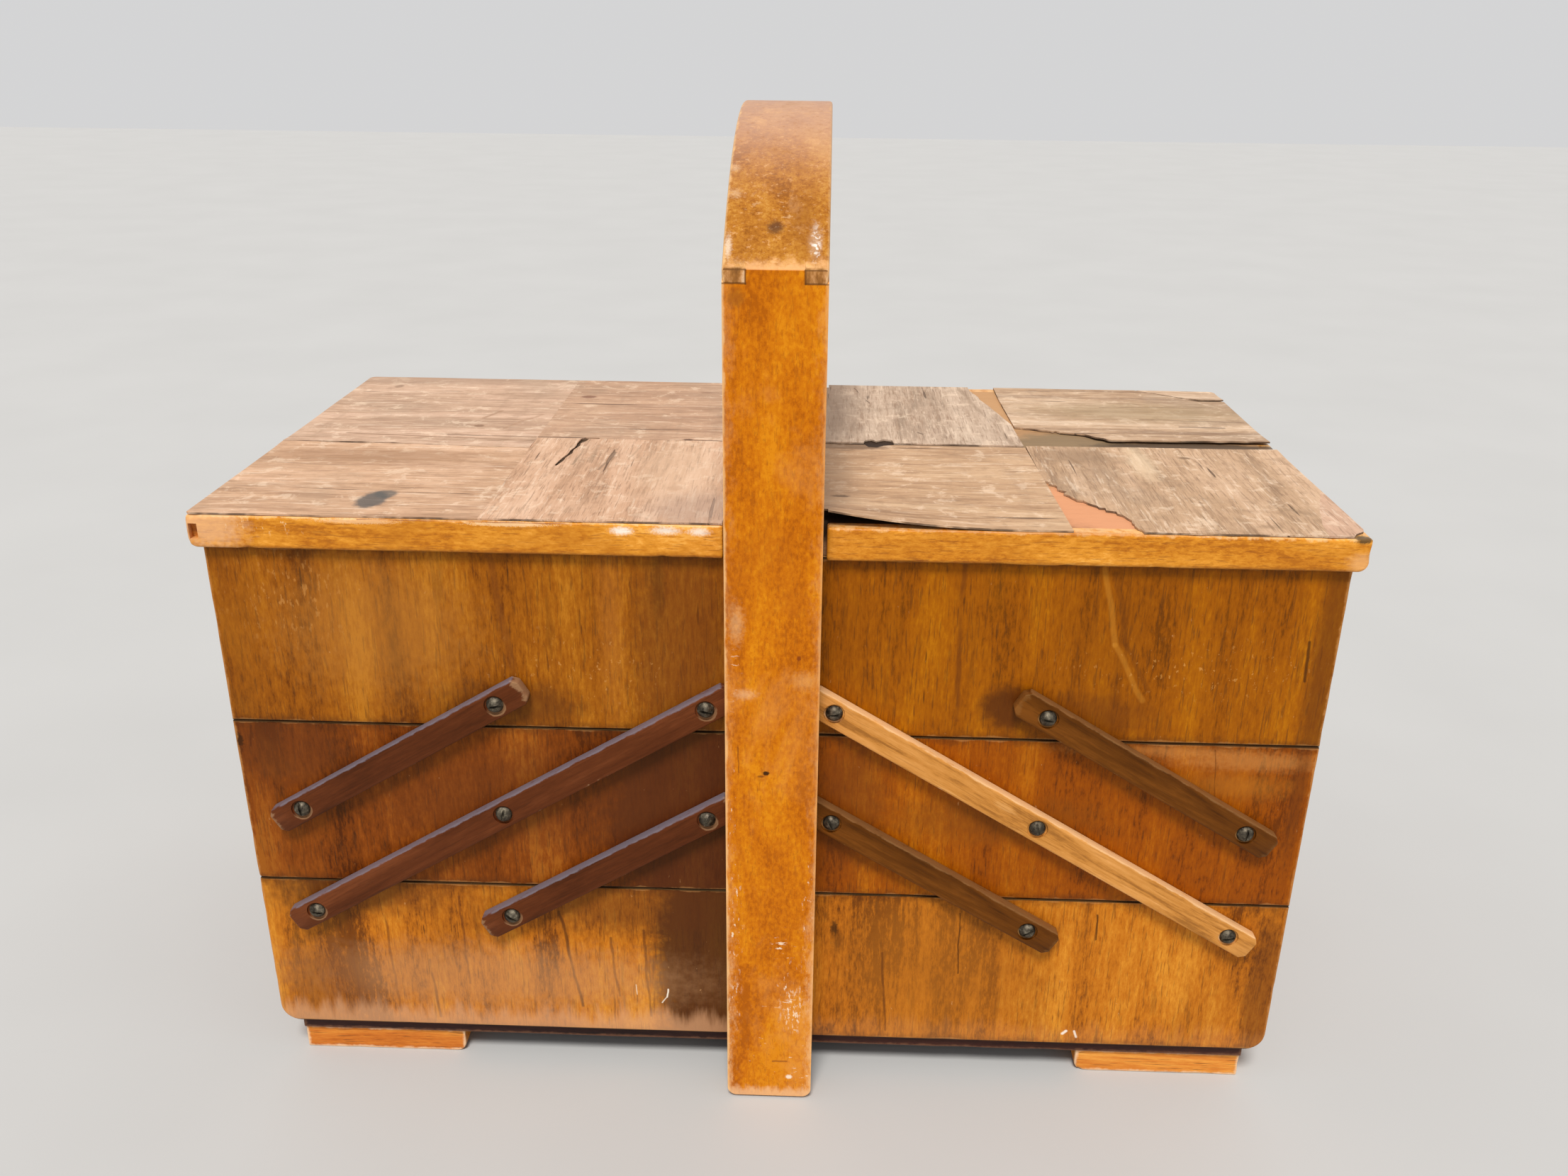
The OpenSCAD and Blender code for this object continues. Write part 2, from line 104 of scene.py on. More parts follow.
def add_sun(place, strength, softness):
    """One broad soft lamp that shines from a place towards the middle of the box."""
    data = bpy.data.lights.new("key", "SUN")
    data.energy = strength
    data.angle = math.radians(softness)
    data.color = (1, 0.985, 0.96)
    lamp = bpy.data.objects.new("key", data)
    lamp.rotation_euler = (-Vector(place)).to_track_quat("-Z", "Y").to_euler()
    bpy.context.scene.collection.objects.link(lamp)


def add_world():
    """An even pale surround, as bright as the lit floor."""
    world = bpy.data.worlds.new("studio")
    world.use_nodes = True
    back = world.node_tree.nodes["Background"]
    back.inputs["Color"].default_value = (0.66, 0.66, 0.665, 1)
    back.inputs["Strength"].default_value = 1
    bpy.context.scene.world = world
    bpy.context.scene.view_settings.view_transform = "Standard"


# Material building.

def tone(code):
    """A colour from its hexadecimal code, in linear values."""
    parts = [int(code[i:i + 2], 16) / 255 for i in (1, 3, 5)]
    return [c / 12.92 if c <= 0.04045 else ((c + 0.055) / 1.055) ** 2.4 for c in parts] + [1]


# Old varnish, whose shine is warmer than the light.
WARM_GLOSS = {"Specular Tint": (1, 0.8, 0.35, 1)}


class Shader:
    """Builds one material. Most methods return sockets, and places are those of the frame, at rest."""

    def __init__(self, name):
        self.material = bpy.data.materials.new(name)
        self.material.use_nodes = True
        self.tree = self.material.node_tree
        self.tree.nodes.clear()
        self.place = self.add("ShaderNodeTexCoord").outputs["Object"]
        self.colour = None

    def add(self, kind, inputs=None, **settings):
        node = self.tree.nodes.new(kind)
        for key, value in settings.items():
            setattr(node, key, value)
        for key, value in (inputs or {}).items():
            if isinstance(value, bpy.types.NodeSocket):
                self.tree.links.new(value, node.inputs[key])
            else:
                node.inputs[key].default_value = value
        return node

    def math(self, operation, *values, clamp=False):
        inputs = dict(enumerate(values))
        return self.add("ShaderNodeMath", inputs, operation=operation, use_clamp=clamp).outputs[0]

    def times(self, first, second):
        return self.math("MULTIPLY", first, second)

    def plus(self, first, second):
        return self.math("ADD", first, second)

    def minus(self, first, second):
        return self.math("SUBTRACT", first, second)

    def times_plus(self, first, second, third):
        """The product of the first two, and the third added."""
        return self.math("MULTIPLY_ADD", first, second, third)

    def least(self, *values):
        return functools.reduce(lambda a, b: self.math("MINIMUM", a, b), values)

    def most(self, *values):
        return functools.reduce(lambda a, b: self.math("MAXIMUM", a, b), values)

    def vector(self, operation, *values, output=0):
        return self.add("ShaderNodeVectorMath", dict(enumerate(values)), operation=operation).outputs[output]

    def scaled(self, by, source=None, shift=(0, 0, 0)):
        moved = self.vector("ADD", source or self.place, shift)
        return self.vector("MULTIPLY", moved, by)

    def noise(self, source, scale, detail=3, rough=0.55, warp=0.0):
        inputs = {"Vector": source, "Scale": scale, "Detail": detail, "Roughness": rough, "Distortion": warp}
        return self.add("ShaderNodeTexNoise", inputs).outputs[0]

    def band(self, value, start, end, low=0.0, high=1.0):
        """Runs smoothly from low at start to high at end."""
        inputs = {"Value": value, "From Min": start, "From Max": end, "To Min": low, "To Max": high}
        return self.add("ShaderNodeMapRange", inputs, interpolation_type="SMOOTHSTEP").outputs[0]

    def mix(self, share, first, second):
        node = self.add("ShaderNodeMix", data_type="RGBA")
        for socket, value in ((node.inputs[0], share), (node.inputs[6], first), (node.inputs[7], second)):
            if isinstance(value, bpy.types.NodeSocket):
                self.tree.links.new(value, socket)
            else:
                socket.default_value = tone(value) if isinstance(value, str) else value
        return node.outputs[2]

    def tint(self, code, value, start, end, share=1.0):
        """Lays a colour over the surface: none where a value is start, up to a share where it is end."""
        self.colour = self.mix(self.band(value, start, end, 0, share), self.colour, code)

    def wear(self, code, distance, uneven, amount, start, end, share):
        """Lays a colour by a distance, with an unevenness of up to an amount added to it: none where that is
        start, up to a share where it is end. The amount, start and end are in millimetres."""
        self.tint(code, self.times_plus(uneven, amount * MM, distance), start * MM, end * MM, share)

    def cover(self, code, mask, strength=1.0):
        """Lays a colour over the surface through a mask."""
        self.colour = self.mix(self.times(mask, strength), self.colour, code)

    def mark(self, axis, level, depth, rows, origin=(0, 0)):
        """Lays marks on a flat face that is square to an axis at a level. A row is a colour and its strength,
        the name of a method below, and what it takes: places and sizes are those across the face, and sizes
        reach to a depth. Three values are taken as they are."""
        def placed(values, through, start):
            if len(values) == 3:
                return values
            moved = [value + shift for value, shift in zip(values, start)]
            return (*moved[:axis], through, *moved[axis:])

        for code, strength, kind, first, second, *rest in rows:
            second = placed(second, level, origin) if kind == "stroke" else placed(second, depth, (0, 0))
            self.cover(code, getattr(self, kind)(placed(first, level, origin), second, *rest), strength)

    def ramp(self, value, codes, low=0.3, high=0.7):
        """Colours spread evenly over the values from low to high."""
        node = self.add("ShaderNodeValToRGB", {"Fac": value})
        stops = node.color_ramp.elements
        stops[0].position, stops[1].position = low, high
        for i in range(1, len(codes) - 1):
            stops.new(low + (high - low) * i / (len(codes) - 1))
        for stop, code in zip(stops, codes):
            stop.color = tone(code)
        return node.outputs[0]

    def wavy(self, amount, scale=60):
        """Places shifted a little by a slow noise, which makes straight marks uneven."""
        node = self.add("ShaderNodeTexNoise", {"Vector": self.place, "Scale": scale, "Detail": 3})
        centred = self.vector("SUBTRACT", node.outputs["Color"], (0.5, 0.5, 0.5))
        return self.vector("MULTIPLY_ADD", centred, (amount,) * 3, self.place)

    def spot(self, centre, radii, ragged=0.5, soft=0.35):
        """A round or oval mask about a place in millimetres, with a ragged rim."""
        centred = self.vector("SUBTRACT", self.place, [c * MM for c in centre])
        share = self.vector("DIVIDE", centred, [r * MM for r in radii])
        size = self.vector("LENGTH", share, output=1)
        uneven = self.noise(self.place, 1.6 / (min(radii) * MM), 4, 0.6)
        size = self.times_plus(self.minus(uneven, 0.5), ragged * 2, size)
        return self.band(size, 1 + soft, 1 - soft)

    def scuff(self, centre, radii, along, scale, amount):
        """A patch of small broken flecks about a place in millimetres, drawn out where along is below 1."""
        flecks = self.noise(self.scaled(along, None, (centre[0] * 0.01, 0, centre[2] * 0.01)), scale, 4, 0.65)
        flecks = self.band(flecks, amount, amount + 0.05)
        return self.times(flecks, self.spot(centre, radii, 0.5, 0.9))

    def stroke(self, start, end, width, waver=1.5, scale=80):
        """A mask along a line between two places in millimetres."""
        first, along = Vector(start) * MM, (Vector(end) - Vector(start)) * MM
        offset = self.vector("SUBTRACT", self.wavy(waver * MM, scale), first)
        share = self.vector("DOT_PRODUCT", offset, along / along.length_squared, output=1)
        share = self.math("ADD", share, 0.0, clamp=True)
        nearest = self.add("ShaderNodeVectorMath", {0: along, "Scale": share}, operation="SCALE").outputs[0]
        away = self.vector("LENGTH", self.vector("SUBTRACT", offset, nearest), output=1)
        return self.band(away, width * MM, width * 0.3 * MM)

    def ring(self, centre, squeeze, radius):
        """A faint broken ring, squeezed along each axis, that a wet glass has left about a place."""
        centred = self.vector("SUBTRACT", self.wavy(3 * MM), [c * MM for c in centre])
        away = self.vector("LENGTH", self.vector("MULTIPLY", centred, squeeze), output=1)
        line = self.band(self.math("ABSOLUTE", self.minus(away, radius * MM)), 2.4 * MM, 0.4 * MM)
        return self.times(line, self.band(self.noise(self.place, 55, 3, 0.6), 0.42, 0.62))

    def inset(self, axis, low, high):
        """How far inside a box's nearer side a place is, along an axis."""
        value = self.coordinate(axis)
        return self.least(self.minus(value, low[axis]), self.minus(high[axis], value))

    def edge_distance(self, low, high):
        """On the surface of the box from low to high, how far its nearest edge is."""
        parts = [self.inset(axis, low, high) for axis in range(3)]
        total = self.plus(self.plus(parts[0], parts[1]), parts[2])
        return self.minus(self.minus(total, self.most(*parts)), self.least(*parts))

    def coordinate(self, axis, source=None):
        return self.add("ShaderNodeSeparateXYZ", {0: source or self.place}).outputs[axis]

    def finish(self, height, rough, depth=0.0002, strength=0.6, **constants):
        """Closes the material with a bump height in units of depth; constants go straight onto the shader."""
        bump = {"Height": height, "Distance": depth, "Strength": strength}
        normal = self.add("ShaderNodeBump", bump).outputs[0]
        inputs = {"Base Color": self.colour, "Roughness": rough, "Normal": normal, "Specular IOR Level": 0.22}
        inputs.update(constants)
        shader = self.add("ShaderNodeBsdfPrincipled", inputs)
        self.add("ShaderNodeOutputMaterial", {"Surface": shader.outputs[0]})
        return self.material


def drawn_out(axis, share):
    """A scale that draws a pattern out along an axis."""
    return tuple(share if a == axis else 1 for a in range(3))


def grain(s, axis, codes, seed, source=None, bands=42, figure=0.5, fibre=0.3, pores=0.5, pore_tone="#3a2012",
          length=10, mottling=0.3):
    """Colour and height of wood whose fibres run along an axis: broad bands, a wavy figure, fibres and pores.
    The bands are drawn out to length times their width."""
    source = source or s.place
    shift = (seed * 0.37, seed * 0.23, seed * 0.71)
    drawn = s.scaled(drawn_out(axis, 1 / length), source, shift)
    broad = s.noise(drawn, bands, 5, 0.55, 0.7)
    rings = s.noise(drawn, bands * 0.35, 2, 0.5, 0.4)
    rings = s.math("SINE", s.times(rings, 70))
    fine = s.noise(s.scaled(drawn_out(axis, 0.35 / length), source, shift), 950, 5, 0.7)
    value = s.times_plus(rings, 0.035 * figure, broad)
    value = s.times_plus(s.minus(fine, 0.5), fibre, value)
    speck = s.noise(s.scaled(drawn_out(axis, min(1, 2 / length)), source, shift), 640, 3, 0.75)
    value = s.times_plus(s.minus(speck, 0.5), mottling, value)
    colour = s.ramp(value, codes)
    pore = s.noise(s.scaled(drawn_out(axis, 0.5 / length), source, shift), 1500, 2, 0.5)
    pore = s.band(pore, 0.58, 0.68)
    colour = s.mix(s.times(pore, pores), colour, pore_tone)
    height = s.minus(s.times(fine, 0.5), s.times(pore, 0.5))
    return colour, height


# Mesh building.

def add_piece(name, points, faces, body, material, replaced, crease=35):
    """A new mesh piece of the object, riding on a CAD body."""
    mesh = bpy.data.meshes.new(name)
    mesh.from_pydata([tuple(p) for p in points], [], faces)
    mesh.shade_smooth()
    mesh.set_sharp_from_angle(angle=math.radians(crease))
    mesh.materials.append(material)
    piece = bpy.data.objects.new(name, mesh)
    bpy.context.scene.collection.objects.link(piece)
    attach(piece, body)
    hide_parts(*replaced)
    return piece


def body_of_node(node):
    return body_of(frame["nodes"][node])[0]


def welded(node):
    """A CAD node's mesh with its split corners joined again."""
    bm = bmesh.new()
    bm.from_mesh(frame["nodes"][node].data)
    bmesh.ops.remove_doubles(bm, verts=bm.verts[:], dist=1e-6)
    return bm


def solids(node):
    """The lowest and highest corners of each separate solid of a CAD node."""
    bm = welded(node)
    left, boxes = set(bm.verts), []
    while left:
        found, edge = set(), [left.pop()]
        while edge:
            vert = edge.pop()
            found.add(vert)
            near = {e.other_vert(vert) for e in vert.link_edges} & left
            left -= near
            edge.extend(near)
        places = np.array([v.co for v in found])
        boxes.append((Vector(places.min(0)), Vector(places.max(0))))
    bm.free()
    return sorted(boxes, key=lambda b: (round(b[0].x, 4), round(b[0].y, 4)))


def cuts(low, high, soft, step):
    """Where one side of a board is cut: closely at its ends, and every step between."""
    near = [0, 0.4 * soft, soft, 2 * soft]
    middle = max(2, round((high - low - 4 * soft) / step))
    inner = np.linspace(low + 2 * soft, high - 2 * soft, middle + 1)[1:-1]
    return [*(low + n for n in near), *inner, *(high - n for n in reversed(near))]


def shell(ticks):
    """The surface of a box as shared points and quads, cut at these places along X, Y and Z."""
    index, points, faces = {}, [], []

    def point(key):
        if key not in index:
            index[key] = len(points)
            points.append([ticks[a][key[a]] for a in range(3)])
        return index[key]

    for normal in range(3):
        first, second = (normal + 1) % 3, (normal + 2) % 3
        for end in (0, len(ticks[normal]) - 1):
            for i in range(len(ticks[first]) - 1):
                for j in range(len(ticks[second]) - 1):
                    ring = []
                    for di, dj in ((0, 0), (1, 0), (1, 1), (0, 1)):
                        key = [0, 0, 0]
                        key[normal], key[first], key[second] = end, i + di, j + dj
                        ring.append(point(tuple(key)))
                    faces.append(ring if end else ring[::-1])
    return np.array(points), faces


def worn_radius(place, soft):
    """How far an edge is rounded at a place: unevenly, and more where it has been knocked."""
    slow = noise.noise(Vector(place) * 45)
    quick = noise.noise(Vector(place) * 190)
    return soft * min(2.6, max(0.35, 0.75 + 0.5 * slow + 3.2 * max(0.0, quick - 0.22)))


def timber(name, low, high, body, material, slot, replaced, soft, step=5 * MM, open_sides=(), corners=()):
    """A worn board between two corners. Its edges are unevenly rounded, except where a side in open_sides
    (axis, direction) lies against its neighbour. Corners (axis, centre, signs, radius) turn in a true arc."""
    ticks = [cuts(low[a], high[a], soft, step) for a in range(3)]
    for axis, centre, signs, radius in corners:
        for place, middle, sign in zip([a for a in range(3) if a != axis], centre, signs):
            turns = [middle + sign * radius * math.tan(math.radians(t)) for t in (0, 11.25, 22.5, 33.75)]
            ticks[place] = sorted(t for t in {*ticks[place], *turns})
    points, faces = shell(ticks)
    inner_low, inner_high = np.array(low, float), np.array(high, float)
    for axis, direction in open_sides:
        (inner_high if direction > 0 else inner_low)[axis] += direction
    for i, p in enumerate(points):
        radius = worn_radius(p, soft)
        turned = turn_point(p, radius, inner_low, inner_high, corners)
        if turned is not None:
            points[i] = turned
            continue
        core = np.clip(p, inner_low + radius, inner_high - radius)
        away = np.linalg.norm(p - core)
        if away > radius:
            points[i] = core + (p - core) * radius / away
    return add_piece(name, points, faces, body, material, replaced)


def turn_point(place, radius, low, high, corners):
    """Where a point lies in a turned corner: on its arc, with the edges at both ends of the arc worn."""
    for axis, centre, signs, turn in corners:
        others = [a for a in range(3) if a != axis]
        offset = (place[others] - centre) * signs
        if min(offset) <= 0:
            continue
        reach, height = max(offset), place[axis]
        core = np.array([min(reach, turn - radius), np.clip(height, low[axis] + radius, high[axis] - radius)])
        away = np.array([reach, height]) - core
        length = np.linalg.norm(away)
        if length > radius:
            reach, height = core + away * radius / length
        turned = place.copy()
        turned[others] = np.array(centre) + offset / np.hypot(*offset) * reach * signs
        turned[axis] = height
        return turned
    return None


def softened(node, material, width, shortest=0.8 * MM, chosen=None):
    """A CAD part with its long sharp edges rounded over, or only those that chosen(edge) picks."""
    bm = welded(node)
    bmesh.ops.dissolve_limit(bm, angle_limit=math.radians(1), verts=bm.verts[:], edges=bm.edges[:])
    sharp = [e for e in bm.edges if len(e.link_faces) == 2 and e.calc_face_angle() > math.radians(35)]
    sharp = [e for e in sharp if e.calc_length() > shortest and (chosen is None or chosen(e))]
    bmesh.ops.bevel(bm, geom=sharp, offset=width, segments=3, profile=0.5, affect="EDGES", clamp_overlap=True)
    bm.normal_update()
    bmesh.ops.triangulate(bm, faces=[f for f in bm.faces if len(f.verts) > 4])
    bm.verts.index_update()
    points = [tuple(v.co) for v in bm.verts]
    faces = [[v.index for v in f.verts] for f in bm.faces]
    bm.free()
    return add_piece(f"{node}_worn", points, faces, body_of_node(node), material, [node], crease=50)


# Tray boards.

def tray_wood(name, low, high, codes, seed, marks, worn_foot):
    """Varnished veneer with an upright grain on the outside of a tray, and bare wood inside it."""
    s = Shader(name)
    s.colour, height = grain(s, 2, codes, seed, bands=38, figure=0.8, pores=0.4, length=7, mottling=0.6)
    cloud = s.noise(s.scaled((1, 1, 0.6)), 13, 4, 0.6, 0.8)
    s.tint(codes[0], cloud, 0.52, 0.8, 0.38)
    s.tint(codes[-1], cloud, 0.46, 0.28, 0.4)
    streak = s.noise(s.scaled((1, 1, 0.09), None, (seed, 0, 0)), 210, 4, 0.6)
    s.tint("#4d2409", streak, 0.60, 0.72, 0.34)
    crack = s.noise(s.scaled((1, 1, 0.07), None, (0, 0, seed)), 420, 2, 0.5)
    crack = s.band(crack, 0.735, 0.77)
    s.cover("#2e1508", crack, 0.7)
    s.mark(1, cad_front, 6, marks)
    end, side, rim = (s.inset(axis, low, high) for axis in range(3))
    s.tint(codes[0], end, 12 * MM, 4 * MM, 0.12)
    uneven = s.noise(s.place, 240, 4, 0.65)
    # Darker towards each board's top and bottom rims: partly dirt, partly painted shade under the lid's
    # overhang and in the seams.
    s.wear("#4a220c", rim, uneven, 9, 8.5, 4, 0.5)
    if worn_foot:
        ragged = s.noise(s.scaled((1, 1, 0.16)), 170, 4, 0.65)
        rise = s.times_plus(ragged, -2.6 * worn_foot, s.minus(s.coordinate(2), low.z))
        share = s.band(s.coordinate(0), 30 * MM, -30 * MM, 0.1, 0.6)
        s.cover("#cf9a70", s.band(rise, 0.2 * worn_foot, -0.9 * worn_foot), share)
    s.wear("#c08448", s.most(end, side), uneven, -2.4, 0, -1, 0.6)
    s.wear("#c08c54", rim, s.noise(s.place, 130, 3, 0.6), -3.4, -0.7, -1.4, 0.3)
    # A near-black line on each board's top and bottom rims: painted shade in the seams between the trays.
    s.tint("#1c0a05", rim, 0.7 * MM, 0.3 * MM, 0.9)
    scuff = s.noise(s.scaled((1, 1, 0.5)), 330, 4, 0.7)
    s.tint("#e0ac74", scuff, 0.70, 0.76, 0.35)
    bare, _ = grain(s, 0, ("#9c7144", "#b98c58", "#cda26c", "#d9b483"), seed + 5, pores=0.25)
    core = s.band(s.least(end, side), 0.8 * MM, 1.1 * MM)
    s.cover(bare, core)
    rough = s.plus(s.times(uneven, 0.25), s.times_plus(core, 0.25, 0.32))
    height = s.minus(height, s.times(crack, 2.0))
    return s.finish(height, rough, 0.00012, 0.5, **WARM_GLOSS)


# The marks on the trays' fronts, in rows as Shader.mark takes them.
BOTTOM_MARKS = [
    ("#43200f", 0.92, "spot", (-27, 56), (21, 60), 0.35, 0.3),
    ("#54280f", 0.6, "spot", (-52, 84), (50, 16), 0.5, 0.5),
    ("#54280f", 0.6, "spot", (-170, 88), (38, 13), 0.5, 0.5),
    ("#2c140a", 0.85, "spot", (27, 74), (1.5, 4, 3.4), 0.8, 0.6),
    ("#4a240c", 0.6, "spot", (28.5, 67), (2.2, 4, 4.6), 1.0, 0.8),
    ("#55280e", 0.5, "spot", (205, 48), (7, 34), 0.4),
    ("#b0691c", 0.45, "spot", (66, 52), (34, 42), 0.4, 0.5),
    ("#3a1a08", 0.7, "stroke", (78, 83), (79, 53), 0.5),
    ("#3a1a08", 0.8, "stroke", (134, 84), (134.5, 72), 0.6),
    ("#5a2c10", 0.6, "stroke", (47, 62), (50, 22), 0.7),
    ("#6a3512", 0.7, "stroke", (-176, 60), (-174, 26), 0.8, 3, 50),
    ("#6a3512", 0.6, "stroke", (-160, 74), (-158, 24), 0.8, 3, 50),
    ("#5a2c10", 0.7, "stroke", (-143, 52), (-141, 22), 0.9, 3, 50),
    ("#6a3512", 0.6, "stroke", (-128, 84), (-127, 40), 0.7, 3, 50),
    ("#4f260e", 0.75, "stroke", (-87, 78), (-79, 30), 1.0, 3, 50),
    ("#5a2c10", 0.6, "stroke", (-66, 66), (-63, 36), 0.8, 3, 50),
    ("#5a2c10", 0.6, "stroke", (-52, 70), (-50, 26), 0.9, 3, 50),
    ("#c08e62", 0.4, "spot", (-120, 44), (80, 15), 0.5, 0.6),
    ("#f3e6d2", 0.9, "stroke", (-42.4, 40), (-43, 36), 0.5, 0.6, 300),
    ("#f3e6d2", 0.7, "stroke", (-43, 36), (-45.2, 33), 0.4, 0.6, 300),
    ("#e8d2b4", 0.7, "stroke", (-56, 42), (-55.6, 37), 0.35, 0.6, 300),
    ("#f4eadb", 0.9, "stroke", (125, 23), (126.5, 24.5), 0.9, 0.6),
    ("#f4eadb", 0.8, "stroke", (130, 24.5), (131, 21.5), 0.7, 0.6),
    ("#6b3512", 0.5, "spot", (-188, 36), (16, 22), 0.6, 0.5),
]
LEFT_MID_MARKS = [
    ("#431c0e", 0.85, "spot", (-34, 127), (32, 60), 0.35, 0.35),
    ("#5f2d12", 0.45, "spot", (-100, 132), (60, 22), 0.5, 0.5),
    ("#5f2d12", 0.55, "spot", (-190, 152), (24, 16), 0.6, 0.5),
    ("#5a2a10", 0.5, "stroke", (-165, 161), (-163, 140), 0.8),
    ("#2c1408", 0.85, "spot", (-208.6, 155.5), (1.5, 4, 2.8), 0.6, 0.3),
    ("#4a200c", 0.7, "stroke", (-203, 162), (-204.5, 153), 0.6, 1.5),
]
RIGHT_MID_MARKS = [
    ("#cf8f4c", 0.38, "spot", (188, 157), (30, 3.4), 0.9, 0.8),
    ("#cf8f4c", 0.35, "spot", (150, 161), (30, 2.2), 0.9, 0.8),
    ("#b5762a", 0.3, "spot", (176, 146), (26, 5), 0.8, 0.8),
    ("#6a340f", 0.55, "spot", (32, 135), (14, 30), 0.5, 0.5),
    ("#5a2a0a", 0.5, "stroke", (171, 162), (174, 136), 0.4),
    ("#5e2c0c", 0.55, "spot", (205, 140), (3, 24), 0.7, 0.6),
    ("#75400f", 0.5, "spot", (90, 128), (36, 10), 0.6, 0.6),
]
LEFT_TOP_MARKS = [
    ("#6a3510", 0.12, "spot", (-205, 200), (12, 70), 0.6, 0.6),
    ("#63300f", 0.55, "spot", (-34, 200), (18, 60), 0.4, 0.4),
    ("#6d360f", 0.5, "stroke", (-104, 236), (-97, 172), 2.2, 5, 22),
    ("#4a220a", 0.5, "spot", (-42, 226), (2.4, 14), 0.9, 0.8),
    ("#b87430", 0.25, "spot", (-60, 210), (4, 34), 0.9, 0.9),
    ("#cf9450", 0.4, "scuff", (-178, 216), (22, 16), (1, 1, 0.35), 560, 0.58),
    ("#cf9450", 0.5, "scuff", (-70, 190), (26, 14), (1, 1, 0.7), 420, 0.62),
    ("#b27431", 0.4, "spot", (-150, 205), (34, 26), 0.6, 0.6),
    ("#54280d", 0.6, "spot", (-100, 174), (26, 9), 0.5, 0.5),
]
RIGHT_TOP_MARKS = [
    ("#6a340b", 0.65, "stroke", (70, 236), (72, 172), 1.5, 7, 24),
    ("#c07d26", 0.4, "stroke", (122, 236), (128, 205), 1.6, 5, 30),
    ("#c07d26", 0.4, "stroke", (128, 205), (141, 182), 1.6, 5, 30),
    ("#5c2c0a", 0.35, "stroke", (126, 234), (132, 205), 1.6, 5, 30),
    ("#5c2c0a", 0.35, "stroke", (132, 205), (143, 186), 1.4, 5, 30),
    ("#d69a50", 0.5, "scuff", (165, 196), (44, 10), (1, 1, 0.6), 520, 0.61),
    ("#4f240a", 0.85, "spot", (91, 178), (11, 9), 0.4, 0.4),
    ("#64300c", 0.5, "spot", (118, 175), (26, 9), 0.5, 0.5),
    ("#3a1a08", 0.8, "stroke", (199, 208), (200, 192), 0.9),
    ("#5c2c0c", 0.6, "spot", (207, 200), (6, 60), 0.4, 0.5),
]
# A tray's colours from dark to light, its seed, its marks, and how high pale wear reaches on it.
TRAYS = {
    "bottom_tray": (("#6f380a", "#a75d11", "#bd6d16", "#c87b20", "#d88c2a"), 3.1, BOTTOM_MARKS, 9 * MM),
    "left_middle_tray": (("#4d1e03", "#6f3205", "#7e3b08", "#8d470e", "#9c5716"), 7.7, LEFT_MID_MARKS, 0),
    "right_middle_tray": (("#632a02", "#8b4102", "#964902", "#a25404", "#b2640a"), 12.4, RIGHT_MID_MARKS, 0),
    "left_top_tray": (("#632e04", "#844607", "#95520a", "#a25f10", "#b26e19"), 18.9, LEFT_TOP_MARKS, 0),
    "right_top_tray": (("#6d3701", "#8c4901", "#985202", "#a25b02", "#b06905"), 25.3, RIGHT_TOP_MARKS, 0),
}
BOTTOM_CORNER = 8 * MM


def add_trays():
    for tray, (codes, seed, marks, worn_foot) in TRAYS.items():
        low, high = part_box(f"{tray}_ends")
        wood = tray_wood(f"{tray}_wood", low, high, codes, seed, marks, worn_foot)
        body = body_of_node(f"{tray}_front")
        board = functools.partial(timber, body=body, material=wood, slot="tray_wood", soft=0.5 * MM)
        for face in FACES:
            node = f"{tray}_{face}"
            board(f"{node}_board", *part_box(node), replaced=[node], open_sides=[(0, -1), (0, 1)])
        for (side, sign), (low, high) in zip(SIDES.items(), solids(f"{tray}_ends")):
            corners = []
            if tray == "bottom_tray":
                side_x = (high if sign > 0 else low).x
                centre = (side_x - sign * BOTTOM_CORNER, low.z + BOTTOM_CORNER)
                corners = [(1, centre, (sign, -1), BOTTOM_CORNER)]
            board(f"{tray}_{side}_end_board", low, high, replaced=[f"{tray}_ends"], open_sides=[(0, -sign)],
                  corners=corners)


# Handle.

# The lowest and highest places of the bow's two finger ends, and their reach across from the tongue outwards.
FINGER = (338.7, 343.1)
FINGER_SIDES = ((-8.4, -15.9), (11, 18.5))
UPRIGHT, LEVEL = (1, 1, 0.3), (0.3, 1, 1)  # scales that draw flecks out
POST_SCUFFS = [
    ((10.3, 47), (3.6, 8), UPRIGHT, 0.55),
    ((10.8, 41), (3, 5), UPRIGHT, 0.57),
    ((9.3, 49), (4, 4), LEVEL, 0.58),
    ((11.3, 58), (5, 9), UPRIGHT, 0.61),
    ((6.3, 77), (4, 6), LEVEL, 0.61),
    ((-12.7, 49), (2, 9), UPRIGHT, 0.58),
    ((-12.7, 88), (2.4, 20), UPRIGHT, 0.61),
    ((-13.7, 120), (1.6, 30), UPRIGHT, 0.63),
    ((15.8, 95), (1.6, 26), UPRIGHT, 0.61),
    ((15.3, 12), (4, 5), LEVEL, 0.62),
    ((-12.7, 196), (2, 9), LEVEL, 0.6),
    ((1.3, 30), (16, 18), LEVEL, 0.66),
]
